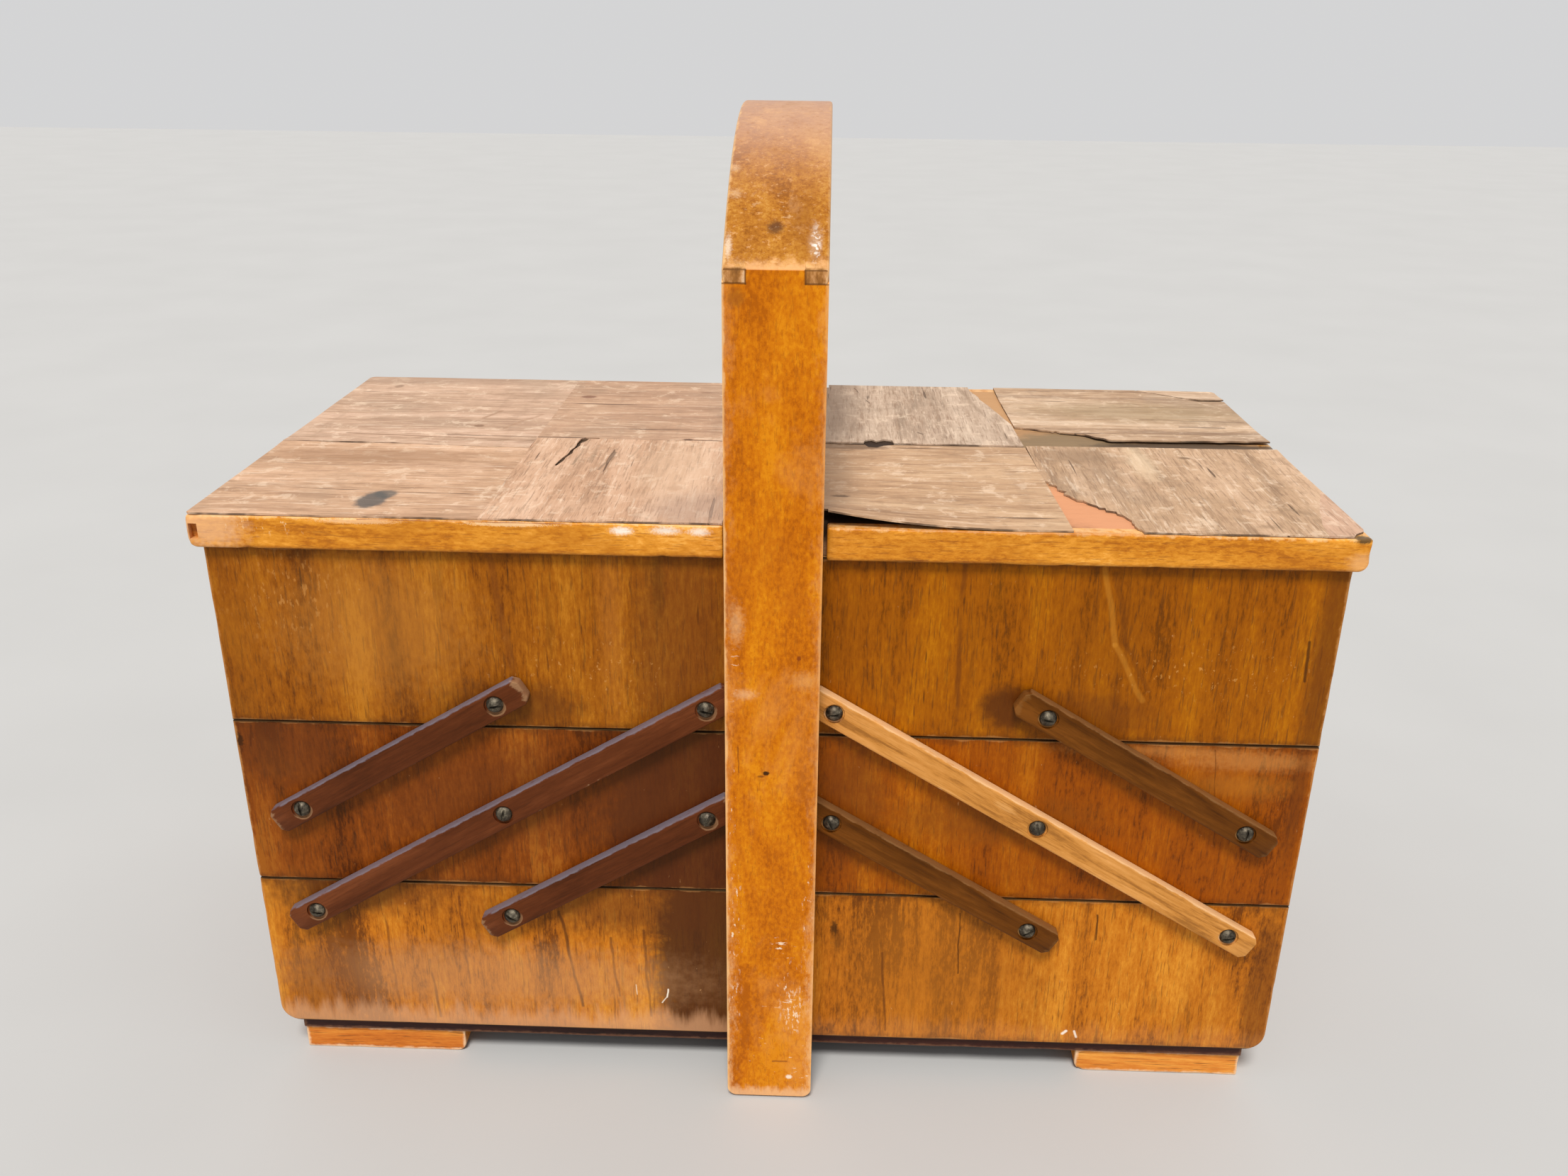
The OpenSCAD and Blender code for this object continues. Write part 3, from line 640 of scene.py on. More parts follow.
POST_MARKS = [
    ("#2a120a", 0.95, "spot", (-0.7, 157), (1.2, 0.9), 0.5, 0.3),
    ("#7a3c10", 0.8, "spot", (-2.7, 155.6), (1.3, 0.5), 0.6, 0.5),
    ("#7a3c10", 0.7, "stroke", (-11.3, 168), (-10.9, 157), 0.35, 1, 200),
    ("#7a3410", 0.8, "spot", (10.9, 205), (0.7, 1.0), 0.5, 0.4),
    *(("#f3e2c8", 0.8, "scuff", *places, along, 760, amount) for *places, along, amount in POST_SCUFFS),
    ("#8a4a1c", 0.7, "stroke", (2.8, 19.6), (8.3, 19.8), 0.7, 0.8, 300),
    ("#f5e7d0", 0.8, "spot", (9.5, 11.6), (1.3, 1.0), 0.6),
    ("#e8c08c", 0.35, "spot", (-11.7, 218), (2.2, 6), 1.2, 0.9),
    ("#e9bf92", 0.4, "spot", (-8.7, 190), (3.4, 1.6), 1.2, 0.9),
    ("#e0a868", 0.4, "spot", (13.3, 196), (4, 3), 1.0, 0.9),
    ("#8a4c18", 0.6, "spot", (-11.7, 334), (3, 3), 0.7, 0.5),
]
# Dark glue lines round the two finger ends, beside the tongue of the post.
JOINT_LINES = [
    ("#5a3214", 0.75, "stroke", (sides[a], FINGER[b]), (sides[c], FINGER[d]), 0.5, 0.6, 300)
    for sides in FINGER_SIDES
    for a, b, c, d in ((0, 1, 1, 1), (0, 0, 1, 0), (0, 0, 0, 1))
]


def bow_surface(s, front):
    """The bow's wood, with its grain round the bend; it goes on over the tongue of each post."""
    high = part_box("handle_bow")[1]
    y, z = s.coordinate(1), s.coordinate(2)
    turn = s.math("ARCTAN2", y, s.minus(z, high.z - bow_radius))
    along = s.times(turn, bow_radius)
    flat = s.add("ShaderNodeCombineXYZ", {0: s.coordinate(0), 1: along, 2: 0.0}).outputs[0]
    codes = ("#844a0c", "#985a16", "#a5671e", "#b07427", "#b98138")
    s.colour, height = grain(s, 1, codes, 9.2, flat, 60, 0.1, 0.15, 0.1, length=2, mottling=1.0)
    s.tint("#bf947a", s.math("ABSOLUTE", y), 100 * MM, 40 * MM, 0.72)
    mottle = s.noise(s.scaled((1, 0.8, 1), flat), 60, 6, 0.75, 0.3)
    s.tint("#9a5f1e", mottle, 0.52, 0.66, 0.35)
    s.tint("#d8a470", mottle, 0.46, 0.36, 0.3)
    crumbs = s.noise(flat, 330, 4, 0.75)
    s.tint("#e0b080", crumbs, 0.56, 0.66, 0.35)
    s.tint("#935718", crumbs, 0.44, 0.34, 0.35)
    worn = s.noise(s.scaled((1, 1, 0.5)), 260, 4, 0.7)
    s.wear("#dfa873", z, worn, 9, FINGER[1] + 8.4, FINGER[1] + 4.4, 0.75)
    s.mark(1, front, 9, [
        ("#4a2c20", 0.75, "spot", (0.7, -106.3, 354.6), (2.4, 6, 1.8), 0.5, 0.6),
        # A pale greyish streak on the bow's front by its right finger: painted highlight.
        ("#c9b49e", 0.4, "spot", (13.9, -110, 350.6), (1.8, 6, 5), 0.8, 0.9),
        ("#efe8de", 0.8, "scuff", (14.1, -110, 350), (1.4, 8, 5), (1, 1, 0.25), 500, 0.52),
        ("#efe0c8", 0.55, "spot", (-14.5, -112, 349), (1.0, 8, 3), 1.2, 0.9),
        ("#6b4220", 0.6, "stroke", (11.1, 343), (11.1, front + 9, 353), 0.35, 0.8, 300),
        ("#6b4220", 0.5, "stroke", (-8.5, 343), (-8.5, front + 3, 347), 0.3, 0.8, 300),
        ("#8a5218", 0.5, "spot", (9.3, -106, 362), (5, 14, 12), 0.7, 0.6),
        ("#e8c8a0", 0.4, "spot", (-13.2, -95, 364), (1.8, 5, 1.2), 1.4, 0.9),
        ("#e8c8a0", 0.4, "spot", (-14.2, -82, 371), (1.4, 5, 1.0), 1.4, 0.9),
        ("#e6c294", 0.35, "scuff", (3.3, -100, 360), (14, 8, 6), (0.7, 1, 0.7), 420, 0.62),
    ])
    return height


def handle_wood(name, seed, bow=False):
    """Varnished beech, pale where hands and knocks have worn its edges."""
    s = Shader(name)
    low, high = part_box("handle_bow" if bow else "front_post")
    front = -post_reach / MM
    x, z = s.coordinate(0), s.coordinate(2)
    edge = s.inset(0, low, high)
    uneven = s.noise(s.scaled((1, 1, 0.4)), 300, 4, 0.65)
    height = bow_surface(s, front)
    bent = s.colour
    if bow:
        ends = s.band(s.coordinate(1), -post_reach + 1.2 * MM, -post_reach + 0.3 * MM)
        end_grain = s.ramp(uneven, ("#6b3f18", "#8f5c2a", "#b88454", "#d9b792"), 0.35, 0.7)
        s.cover(end_grain, ends, 0.95)
    else:
        codes = ("#a85604", "#b96305", "#c46d07", "#cb7609", "#d5820f")
        s.colour, height = grain(s, 2, codes, seed, None, 60, 0.1, 0.25, 0.3, "#8a4510", 3, 0.9)
        flecks = s.noise(s.scaled((1, 1, 0.35)), 700, 3, 0.65)
        s.tint("#96500f", flecks, 0.58, 0.68, 0.45)
        cloud = s.noise(s.scaled((1, 1, 0.6)), 32, 5, 0.65, 0.4)
        s.tint("#e09a52", cloud, 0.52, 0.7, 0.3)
        s.tint("#ad5c12", cloud, 0.45, 0.28, 0.35)
        low_worn = s.band(z, 150 * MM, 20 * MM, 0.25, 1.0)
        haze = s.times_plus(s.noise(s.scaled((1, 1, 0.4)), 240, 6, 0.8), -22 * MM, edge)
        haze = s.times(s.band(haze, -7.0 * MM, -13.0 * MM), low_worn)
        s.cover("#eab680", haze, 0.62)
        s.wear("#e8b98a", z, uneven, -9, 2.6, -1.5, 0.65)
    side_wear = s.band(x, -4 * MM, 10 * MM, 0.7, 0.3)
    fringe = s.band(s.times_plus(uneven, -3.0 * MM, edge), -0.3 * MM, -1.4 * MM)
    s.cover("#e8ba80", fringe, side_wear)
    if not bow:
        s.mark(1, front, 2, POST_MARKS)
        s.tint(bent, z, (FINGER[1] - 0.3) * MM, (FINGER[1] + 0.3) * MM)
    s.mark(1, front, 2, JOINT_LINES)
    rough = s.times_plus(uneven, 0.22, 0.3)
    return s.finish(height, rough, 0.0001, 0.5, **WARM_GLOSS)


def add_handle():
    for face in FACES:
        wood = handle_wood(f"{face}_post_wood", 2.3 if face == "front" else 5.9)
        softened(f"{face}_post", wood, 0.8 * MM)
    low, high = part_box("handle_bow")

    def outer_edge(edge):
        """Whether an edge runs along one of the bow's four long arcs."""
        places = [v.co for v in edge.verts]
        return all(min(p.x - low.x, high.x - p.x) < 0.1 * MM for p in places)

    softened("handle_bow", handle_wood("bow_wood", 9.2, True), 1.2 * MM, chosen=outer_edge)


# Links.

def link_wood(name, pivot, direction, span, looks, seed):
    """Stained strip wood with its grain along the link, with a painted highlight along its upper edge, and
    chipped below.
    """
    s = Shader(name)
    angle = math.atan2(direction.z, direction.x)
    inputs = {"Vector": s.place, "Center": pivot, "Angle": angle}
    turned = s.add("ShaderNodeVectorRotate", inputs, rotation_type="Y_AXIS")
    local = s.vector("SUBTRACT", turned.outputs[0], pivot)
    codes, upper_edge_highlight, chips, contrast, end_wear = looks
    s.colour, height = grain(s, 0, codes, seed, local, 120, 0.2, contrast, 0.3, codes[0])
    across = s.times(s.coordinate(2, local), math.copysign(1, direction.x))
    uneven = s.noise(s.scaled((0.35, 1, 1), local), 380, 4, 0.65)
    # A pale line along the upper edge: painted highlight where the bevel would catch the light.
    s.wear(upper_edge_highlight, across, uneven, 2.4, 6.2, 6.8, 0.75)
    chip = s.noise(s.scaled((0.5, 1, 1), local), 170, 4, 0.75)
    s.wear(chips, across, chip, -8, -10.2, -10.9, 0.7)
    along = s.coordinate(0, local)
    ends = s.most(s.times(along, -1.0), s.minus(along, span))
    s.wear(chips, ends, chip, 9, 15.5, 17, end_wear)
    scratch = s.noise(s.scaled((0.06, 1, 1), local), 480, 3, 0.6)
    s.tint(codes[-1], scratch, 0.66, 0.72, 0.4)
    for share in (0, 1):
        seat = s.vector("SUBTRACT", s.vector("MULTIPLY", local, (1, 0, 1)), (span * share, 0, -0.5 * MM))
        ring = s.times_plus(uneven, 1.2 * MM, s.vector("LENGTH", seat, output=1))
        ring = s.times(s.band(ring, 4.9 * MM, 4.5 * MM), s.band(across, 0.5 * MM, -2.5 * MM))
        s.cover(chips, ring, 0.55)
    rough = s.times_plus(uneven, 0.25, 0.36)
    return s.finish(height, rough, 0.00012, 0.6, **WARM_GLOSS)


# A link's colours, those of the painted highlight along its upper edge and of its chips, its contrast, and
# how worn its ends are.
LINK_LOOKS = {
    "dark_link_wood": (("#421a0a", "#51230f", "#5c2b14", "#6b361c"), "#706a74", "#a07a58", 0.35, 0.6),
    "brown_link_wood": (("#3f1c02", "#552a04", "#613308", "#744010"), "#7d5632", "#a07646", 0.4, 0.15),
    "light_link_wood": (
        ("#9c642b", "#c0803a", "#cd8d47", "#d89853", "#e5ac6a"), "#dcb284", "#dcb488", 0.45, 0.4),
}


def add_links():
    slots = {part["node"]: part["material_slot"] for part in frame["record"]["subparts"]}
    for side in SIDES:
        direction = joint_places[f"{side}_top_tray_pivot"] - joint_places[f"{side}_unfold"]
        pivots = (("long", "unfold"), ("lower", "lower_link_pivot"), ("upper", "upper_link_pivot"))
        for kind, joint in pivots:
            for face in FACES:
                node = f"{side}_{kind}_link_{face}"
                slot = slots[node]
                seed = 1.7 * len(node) + 3.1 * SIDES[side] + 0.9 * FACES[face] + len(kind)
                span = direction.length if kind == "long" else direction.length / 2
                pivot = joint_places[f"{side}_{joint}"]
                wood = link_wood(f"{node}_wood", pivot, direction, span, LINK_LOOKS[slot], seed)
                softened(node, wood, 0.55 * MM, 1.5 * MM)


# Base, feet, floors and rails.

def plain_wood(name, axis, codes, seed, low=None, high=None, fringe="#d9a878", rough=0.5, **looks):
    """Simple solid wood, with worn edges where it is given its box."""
    s = Shader(name)
    s.colour, height = grain(s, axis, codes, seed, **looks)
    uneven = s.noise(s.place, 260, 4, 0.65)
    if low is not None:
        s.wear(fringe, s.edge_distance(low, high), uneven, -3, 0.2, -1.2, 0.8)
    return s.finish(height, s.times_plus(uneven, 0.2, rough), 0.00015, 0.6)


def paint(node, material):
    """Gives a CAD part that stays in view its finish."""
    slots = frame["nodes"][node].data.materials
    slots.clear()
    slots.append(material)


def add_base():
    low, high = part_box("base_board")
    body = body_of_node("base_board")
    dark = ("#120605", "#2a110c", "#3a1a12", "#4a2417")
    stain = plain_wood("base_stain", 0, dark, 4.4, low, high, "#6f4a34", 0.45)
    timber("base_board_timber", low, high, body, stain, "base_wood", ["base_board"], 0.6 * MM, 12 * MM)
    codes = ("#aa5712", "#c66e21", "#d4812d", "#e3963c", "#eeae52")
    foot_corner = 4 * MM
    for i, (low, high) in enumerate(solids("feet")):
        wood = plain_wood(f"foot_wood_{i}", 0, codes, 2.0 + i * 3.3, low, high, "#ecc8a0", 0.4, bands=70)
        sign = 1 if high.x > 0 else -1
        inner = low.x if sign > 0 else high.x
        corner = (1, (inner + sign * foot_corner, low.z + foot_corner), (-sign, -1), foot_corner)
        timber(f"foot_{i + 1}", low, high, "base", wood, "foot_wood", ["feet"], 0.7 * MM, corners=[corner])


def add_hidden_wood():
    ply = plain_wood("floor_ply", 0, ("#a97c4c", "#c0955f", "#d0a872", "#dcb887"), 6.2, pores=0.3, rough=0.6)
    for side in SIDES:
        for tier in ("middle", "top"):
            paint(f"{side}_{tier}_tray_floor", ply)
    rail = plain_wood("rail_wood", 1, ("#8a623f", "#a57c52", "#b98f63", "#caa377"), 8.1, rough=0.55)
    for side in SIDES:
        softened(f"{side}_top_tray_rail", rail, 0.5 * MM, 3 * MM)
    spacer = plain_wood("spacer_wood", 2, LINK_LOOKS["dark_link_wood"][0], 5.5)
    paint("post_spacers", spacer)


# Metal.

def screw_metal(name, codes, gloss, seed):
    """Dulled metal with darker tarnish in patches."""
    s = Shader(name)
    tarnish = s.noise(s.place, 420, 4, 0.65)
    fine = s.noise(s.place, 1900, 3, 0.6)
    s.colour = s.ramp(s.times_plus(fine, 0.2, s.minus(tarnish, 0.1)), codes)
    rough = s.band(tarnish, 0.3, 0.7, gloss, gloss + 0.3)
    looks = {"Metallic": 0.85, "Specular IOR Level": 0.5}
    return s.finish(s.plus(fine, seed), rough, 0.00008, 0.5, **looks)


def add_metal():
    steel = screw_metal("dark_steel", ("#2b2620", "#453e34", "#625a4c", "#8f8674"), 0.36, 0.1)
    brass = screw_metal("dull_brass", ("#4a3716", "#7d6128", "#a08038", "#bd9c50"), 0.28, 0.2)
    for node in frame["nodes"]:
        if "hinge" in node:
            paint(node, brass)
        elif node.endswith("screws"):
            paint(node, steel)


# Lids.

VENEER = 0.7 * MM
SHEET_GAP = 0.05  # between a sheet and its board, in millimetres
SHEET_STEP = 3.5 * MM
LID_CORNER = 3.6 * MM
CORNER_INSET = 0.6  # how much closer a sheet's corner turns, in millimetres
EDGING_WIDTH = 6 * MM
SLOT_INSET = 2.7 * MM


def lid_board_wood(name, side):
    """The bare board under the veneer: grey where it has long lain open, orange where it is freshly torn, and
    near black with painted shade under the curled sheet, in the slit and in the seams.
    """
    s = Shader(name)
    s.colour, height = grain(s, 0, ("#8f6a48", "#a98058", "#bb936a", "#cba67c"), 3.3 * side, pores=0.3)
    if side > 0:
        s.mark(2, board_mm, 9, [
            ("#b98c60", 0.9, "spot", (98, 75), (14, 48), 0.2, 0.2),
            ("#d09067", 0.95, "spot", (118, -95), (22, 50), 0.2, 0.2),
            ("#826c50", 0.9, "spot", (125, 8), (26, 17), 0.3, 0.3),
            # The dark band in the seam between the outer sheets is partly greyed board and partly painted
            # shade.
            ("#4a3c30", 0.92, "spot", (177, 7), (40, 6), 0.3, 0.3),
            ("#1d1310", 0.95, "spot", (42, 0), (12, 9), 0.3, 0.3),
            # Painted shadow under the curled front sheet.
            ("#231813", 0.95, "spot", (45, -106), (62, 22), 0.2, 0.3),
        ])
    else:
        s.mark(2, board_mm, 9, [
            # Painted shade in the slit by the flap and in the seam between the outer sheets.
            ("#3a2c22", 0.9, "spot", (-87, -20), (8, 28), 0.3, 0.3),
            ("#3a2b20", 0.95, "spot", (-150, -14), (60, 6), 0.3, 0.3),
        ])
    return s.finish(height, 0.7, 0.0002, 0.7)


def edging_wood(name, axis, low, high, seed, side):
    """Clear-varnished pale strip, yellow-orange. Side is 1 or -1 for the right or left front strip, which has
    marks of its own, at heights from the strip's top."""
    s = Shader(name)
    codes = ("#ad640c", "#c57916", "#d38923", "#e09530", "#edaa49")
    s.colour, height = grain(s, axis, codes, seed, None, 60, 0.2, 0.3, 0.45, "#8a4a12", 5, 0.7)
    cloud = s.noise(s.scaled(drawn_out(axis, 0.4)), 50, 5, 0.65, 0.4)
    s.tint("#b36c12", cloud, 0.5, 0.7, 0.45)
    uneven = s.noise(s.place, 300, 4, 0.65)
    z = s.coordinate(2)
    s.wear("#e8bf88", s.minus(z, high.z), uneven, 5, 1.6, 2.8, 0.6)
    s.wear("#7a4010", s.minus(z, low.z), uneven, 2.5, 3.2, 1.2, 0.5)
    top, front = high.z / MM, low.y / MM
    if axis == 1 and low.x > 0:
        s.cover("#4a3c30", s.spot((209, 7, top), (9, 4.8, 3), 0.3, 0.3), 0.9)
    if side > 0:
        s.mark(1, front, 3, [
            ("#4a3a22", 0.9, "spot", (210.5, front + 1, top), (3.2, 3, 1.6), 0.7),
            ("#e6b077", 0.5, "spot", (211, -9), (4.5, 3.5), 0.7, 0.6),
            ("#b06a30", 0.5, "spot", (95, 0), (60, 2, 0.7), 0.9),
        ], (0, top))
    if side < 0:
        s.mark(1, front, 3, [
            ("#f7efe2", 0.85, "spot", (-54, -2.6), (3.4, 1.3), 0.8, 0.7),
            ("#f7efe2", 0.7, "spot", (-38, -2.2), (4.6, 1.2), 0.9, 0.8),
            ("#f7efe2", 0.75, "spot", (-26, -2.4), (3.2, 1.2), 0.9, 0.8),
            ("#f0cfa0", 0.6, "scuff", (-185, -3), (26, 3), (1, 1, 0.4), 620, 0.62),
            ("#f2d2a6", 0.6, "spot", (-95, -1), (14, 0.8), 1.2),
            ("#f0c89a", 0.5, "spot", (-150, -1), (14, 1.0), 1.0),
            ("#e6b68a", 0.55, "spot", (-205, -4), (12, 8), 0.7, 0.6),
            ("#8a4a1c", 0.7, "stroke", (-150, -0.2), (-70, -0.3), 0.5, 0.6),
        ], (0, top))
    rough = s.times_plus(uneven, 0.2, 0.28)
    return s.finish(height, rough, 0.0001, 0.5)


def add_edging(side, sign):
    """Three strips round a lid: the front and back ones run past the ends of the side one."""
    node = f"{side}_lid_edging"
    low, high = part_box(node)
    outer = high.x if sign > 0 else low.x
    turned_x = outer - sign * LID_CORNER
    looks = {"body": body_of_node(node), "slot": "edging_wood", "replaced": [node]}
    strip = functools.partial(timber, soft=1.0 * MM, step=4 * MM, **looks)
    for face, way in FACES.items():
        y_out = high.y if way > 0 else low.y
        a, b = sorted((y_out, y_out - way * EDGING_WIDTH))
        start, end = Vector((low.x, a, low.z)), Vector((high.x, b, high.z))
        wood = edging_wood(f"{side}_{face}_edging_wood", 0, start, end, 2.2 * sign + way, sign * (way < 0))
        if way > 0:
            turn = (2, (turned_x, y_out - LID_CORNER), (sign, 1), LID_CORNER)
        else:
            turn = (1, (turned_x, low.z + LID_CORNER), (sign, -1), LID_CORNER)
        name = f"{side}_lid_{face}_edging"
        piece = strip(name, start, end, material=wood, open_sides=[(1, -way)], corners=[turn])
        if side == "left" and face == "front":
            cut_slot(piece, Vector((outer + SLOT_INSET, y_out, (low.z + high.z) / 2)))
    wood = edging_wood(f"{side}_end_edging_wood", 1, low, high, 4.7 * sign, 0)
    a, b = sorted((outer, outer - sign * EDGING_WIDTH))
    start, end = (a, low.y + EDGING_WIDTH, low.z), (b, high.y - EDGING_WIDTH, high.z)
    strip(f"{side}_lid_end_edging", start, end, material=wood, open_sides=[(0, -sign), (1, -1), (1, 1)])


def cut_slot(piece, place):
    """Cuts the end of the panel's groove, which shows as a small slot near the strip's end."""
    low = place + Vector((-1.7, -3, -3.0)) * MM
    high = place + Vector((1.5, 3, 3.0)) * MM
    points, faces = shell([[low[a], high[a]] for a in range(3)])
    mesh = bpy.data.meshes.new("groove_cutter")
    mesh.from_pydata([tuple(p) for p in points], [], faces)
    cutter = bpy.data.objects.new("groove_cutter", mesh)
    bpy.context.scene.collection.objects.link(cutter)
    cut = piece.modifiers.new("groove", "BOOLEAN")
    cut.operation = "DIFFERENCE"
    cut.solver = "EXACT"
    cut.object = cutter
    bpy.context.view_layer.update()
    shaped = bpy.data.meshes.new_from_object(piece.evaluated_get(bpy.context.evaluated_depsgraph_get()))
    piece.modifiers.clear()
    piece.data = shaped
    bpy.data.objects.remove(cutter)


def torn(start, end, pieces, depth, seed):
    """Points along a tear from start up to but not including end, both in millimetres."""
    rng = random.Random(seed)
    start, end = Vector(start), Vector(end)
    along = end - start
    side = Vector((-along.y, along.x)).normalized()
    points = [start]
    for i in range(1, pieces):
        share = (i + rng.uniform(-0.3, 0.3)) / pieces
        points.append(start + along * share + side * rng.uniform(-depth, depth))
    return [tuple(p) for p in points]


def sheet_surface(outline):
    """A flat sheet inside an outline, cut into small triangles, with its rim's edges."""
    bm = bmesh.new()
    face = bm.faces.new([bm.verts.new((x * MM, y * MM, 0)) for x, y in outline])
    face.normal_update()
    bmesh.ops.triangulate(bm, faces=bm.faces[:], ngon_method="EAR_CLIP")
    for axis in (0, 1):
        values = [p[axis] * MM for p in outline]
        low, high = min(values), max(values)
        count = max(2, round((high - low) / SHEET_STEP))
        for i in range(1, count):
            place, normal = Vector((0, 0, 0)), Vector((0, 0, 0))
            place[axis], normal[axis] = low + (high - low) * i / count, 1
            geometry = bm.verts[:] + bm.edges[:] + bm.faces[:]
            bmesh.ops.bisect_plane(bm, geom=geometry, dist=1e-5, plane_co=place, plane_no=normal)
    bm.normal_update()
    bm.verts.index_update()
    flat = np.array([v.co for v in bm.verts])
    faces = [[v.index for v in (f.verts if f.normal.z > 0 else reversed(f.verts[:]))] for f in bm.faces]
    bm.free()
    return flat, faces


def veneer_wood(name, axis, codes, seed, rows, greyed, crossed):
    """Dry, faded veneer: bleached bands, lifted fibres, dark open pores and small cracks along its grain."""
    s = Shader(name)
    s.colour, height = grain(s, axis, codes, seed, None, 60, 0.6, 0.5, 0.4, "#6b4c34")
    dirt = s.noise(s.scaled(drawn_out(axis, 0.12), None, (seed, seed, 0)), 95, 5, 0.65, 0.5)
    s.tint("#8d7058", dirt, 0.53, 0.75, 0.4)
    cloud = s.noise(s.place, 17, 4, 0.6, 0.4)
    s.tint("#a08a74", cloud, 0.5, 0.72, greyed)
    s.tint(codes[-1], cloud, 0.44, 0.26, 0.5)
    dash = s.noise(s.scaled(drawn_out(axis, 0.09), None, (0, seed, 0)), 560, 4, 0.65)
    s.tint("#86664c", dash, 0.54, 0.66, 0.45)
    s.tint("#ecd4ba", dash, 0.44, 0.34, 0.35)
    patchy = s.noise(s.place, 110, 6, 0.72, 0.3)
    s.tint(codes[0], patchy, 0.53, 0.66, 0.4)
    s.tint("#ecd2b6", patchy, 0.46, 0.36, 0.35)
    crack = s.noise(s.scaled(drawn_out(axis, 0.05), None, (seed, 0, seed)), 330, 2, 0.5)
    crack = s.band(crack, 0.70, 0.735)
    s.cover("#4c3524", crack, 0.75)
    if crossed:
        cross = s.noise(s.scaled(tuple(1 if a == axis else 0.1 for a in range(3))), 120, 4, 0.6)
        s.tint("#8d7058", cross, 0.55, 0.72, crossed)
    s.mark(2, lid_mm, 9, rows)
    corner = s.most(s.inset(0, lid_low, lid_high), s.inset(1, lid_low, lid_high))
    uneven = s.noise(s.place, 260, 4, 0.65)
    s.wear("#c9884a", corner, uneven, -4, 0.2, -1.8, 0.6)
    # The sheets' upright cut edges are darkened: partly their own aged edge, partly painted shade in the
    # seams between sheets.
    facing = s.coordinate(2, s.add("ShaderNodeTexCoord").outputs["Normal"])
    painted_edge_shade = s.band(s.noise(s.place, 55, 3, 0.6), 0.44, 0.6, 0.0, 0.75)
    s.cover("#3d2c20", s.band(facing, 0.55, 0.25), painted_edge_shade)
    rough = s.times_plus(uneven, 0.2, 0.55)
    height = s.minus(height, s.times(crack, 2.5))
    return s.finish(height, rough, 0.0002, 0.75)


def warp(amount, seed):
    """A gentle unevenness of a sheet, up to amount millimetres."""
    def lift(x, y):
        return amount * (0.5 + 0.5 * noise.noise(Vector((x * 0.03, y * 0.03, seed))))
    return lift


def curl(x, y):
    """The inner front sheet's front edge has lifted off the board beside the post."""
    reach = max(0.0, min(1.0, (95 - x) / 75)) ** 2.2
    bend = max(0.0, (-62 - y) / 43) ** 2
    return 6.0 * reach * bend + warp(0.15, 4)(x, y)


def flap(x, y):
    """The inner left front sheet stands up a little along its slit, on the side of the post."""
    beside = max(0.0, 1 - abs(x + 83) / 7) * max(0.0, 1 - abs(y + 14) / 22)
    return warp(0.25, 7)(x, y) + (0.9 * beside if x > -87 - 0.1 * abs(y) / 4 else 0.0)


def torn_lift(edge, rise, reach, seed):
    """A sheet that rises towards a line y = edge, over reach millimetres."""
    base = warp(0.25, seed)

    def lift(x, y):
        return base(x, y) + rise * max(0.0, 1 - abs(y - edge) / reach) ** 2
    return lift


def arc(centre_x, centre_y, radius, start):
    """Five points round a quarter of a circle, from an angle in degrees."""
    turns = np.radians(np.linspace(start, start + 90, 5))
    return [(centre_x + radius * math.cos(t), centre_y + radius * math.sin(t)) for t in turns]


def add_sheet(side, name, outline, lift, axis, codes, seed, rows=(), greyed=0.3, crossed=0.0):
    """A loose thin sheet of veneer on a lid's board; lift(x, y), in millimetres, raises it."""
    flat, faces = sheet_surface(outline)
    count = len(flat)
    top, bottom = flat.copy(), flat.copy()
    bottom[:, 2] = [(board_mm + SHEET_GAP + lift(x / MM, y / MM)) * MM for x, y, _ in flat]
    top[:, 2] = bottom[:, 2] + VENEER
    edges = {(a, b) for f in faces for a, b in zip(f, f[1:] + f[:1])}
    rim = sorted((a, b) for a, b in edges if (b, a) not in edges)
    underside = [[i + count for i in reversed(f)] for f in faces]
    solid = faces + underside + [[b, a, a + count, b + count] for a, b in rim]
    wood = veneer_wood(f"{side}_{name}_veneer", axis, codes, seed, rows, greyed, crossed)
    points, node = np.vstack((top, bottom)), f"{side}_lid_veneer"
    add_piece(f"{side}_veneer_{name}", points, solid, f"{side}_lid", wood, [node])


def lid_layout(side):
    """A lid's inner edge, outer edge, half depth, notch edge and notch depth, in millimetres and for +x.
    Sheets stop a little short of the inner edge and the notch."""
    low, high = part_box(f"{side}_lid_veneer")
    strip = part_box(f"{side}_lid_edging")
    inner = min(abs(low.x), abs(high.x)) / MM + 0.2
    outer = max(abs(low.x), abs(high.x)) / MM
    notch = min(abs(strip[0].x), abs(strip[1].x)) / MM + 0.2
    return inner, outer, high.y / MM, notch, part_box(f"{side}_lid_panel")[1].y / MM - 0.1


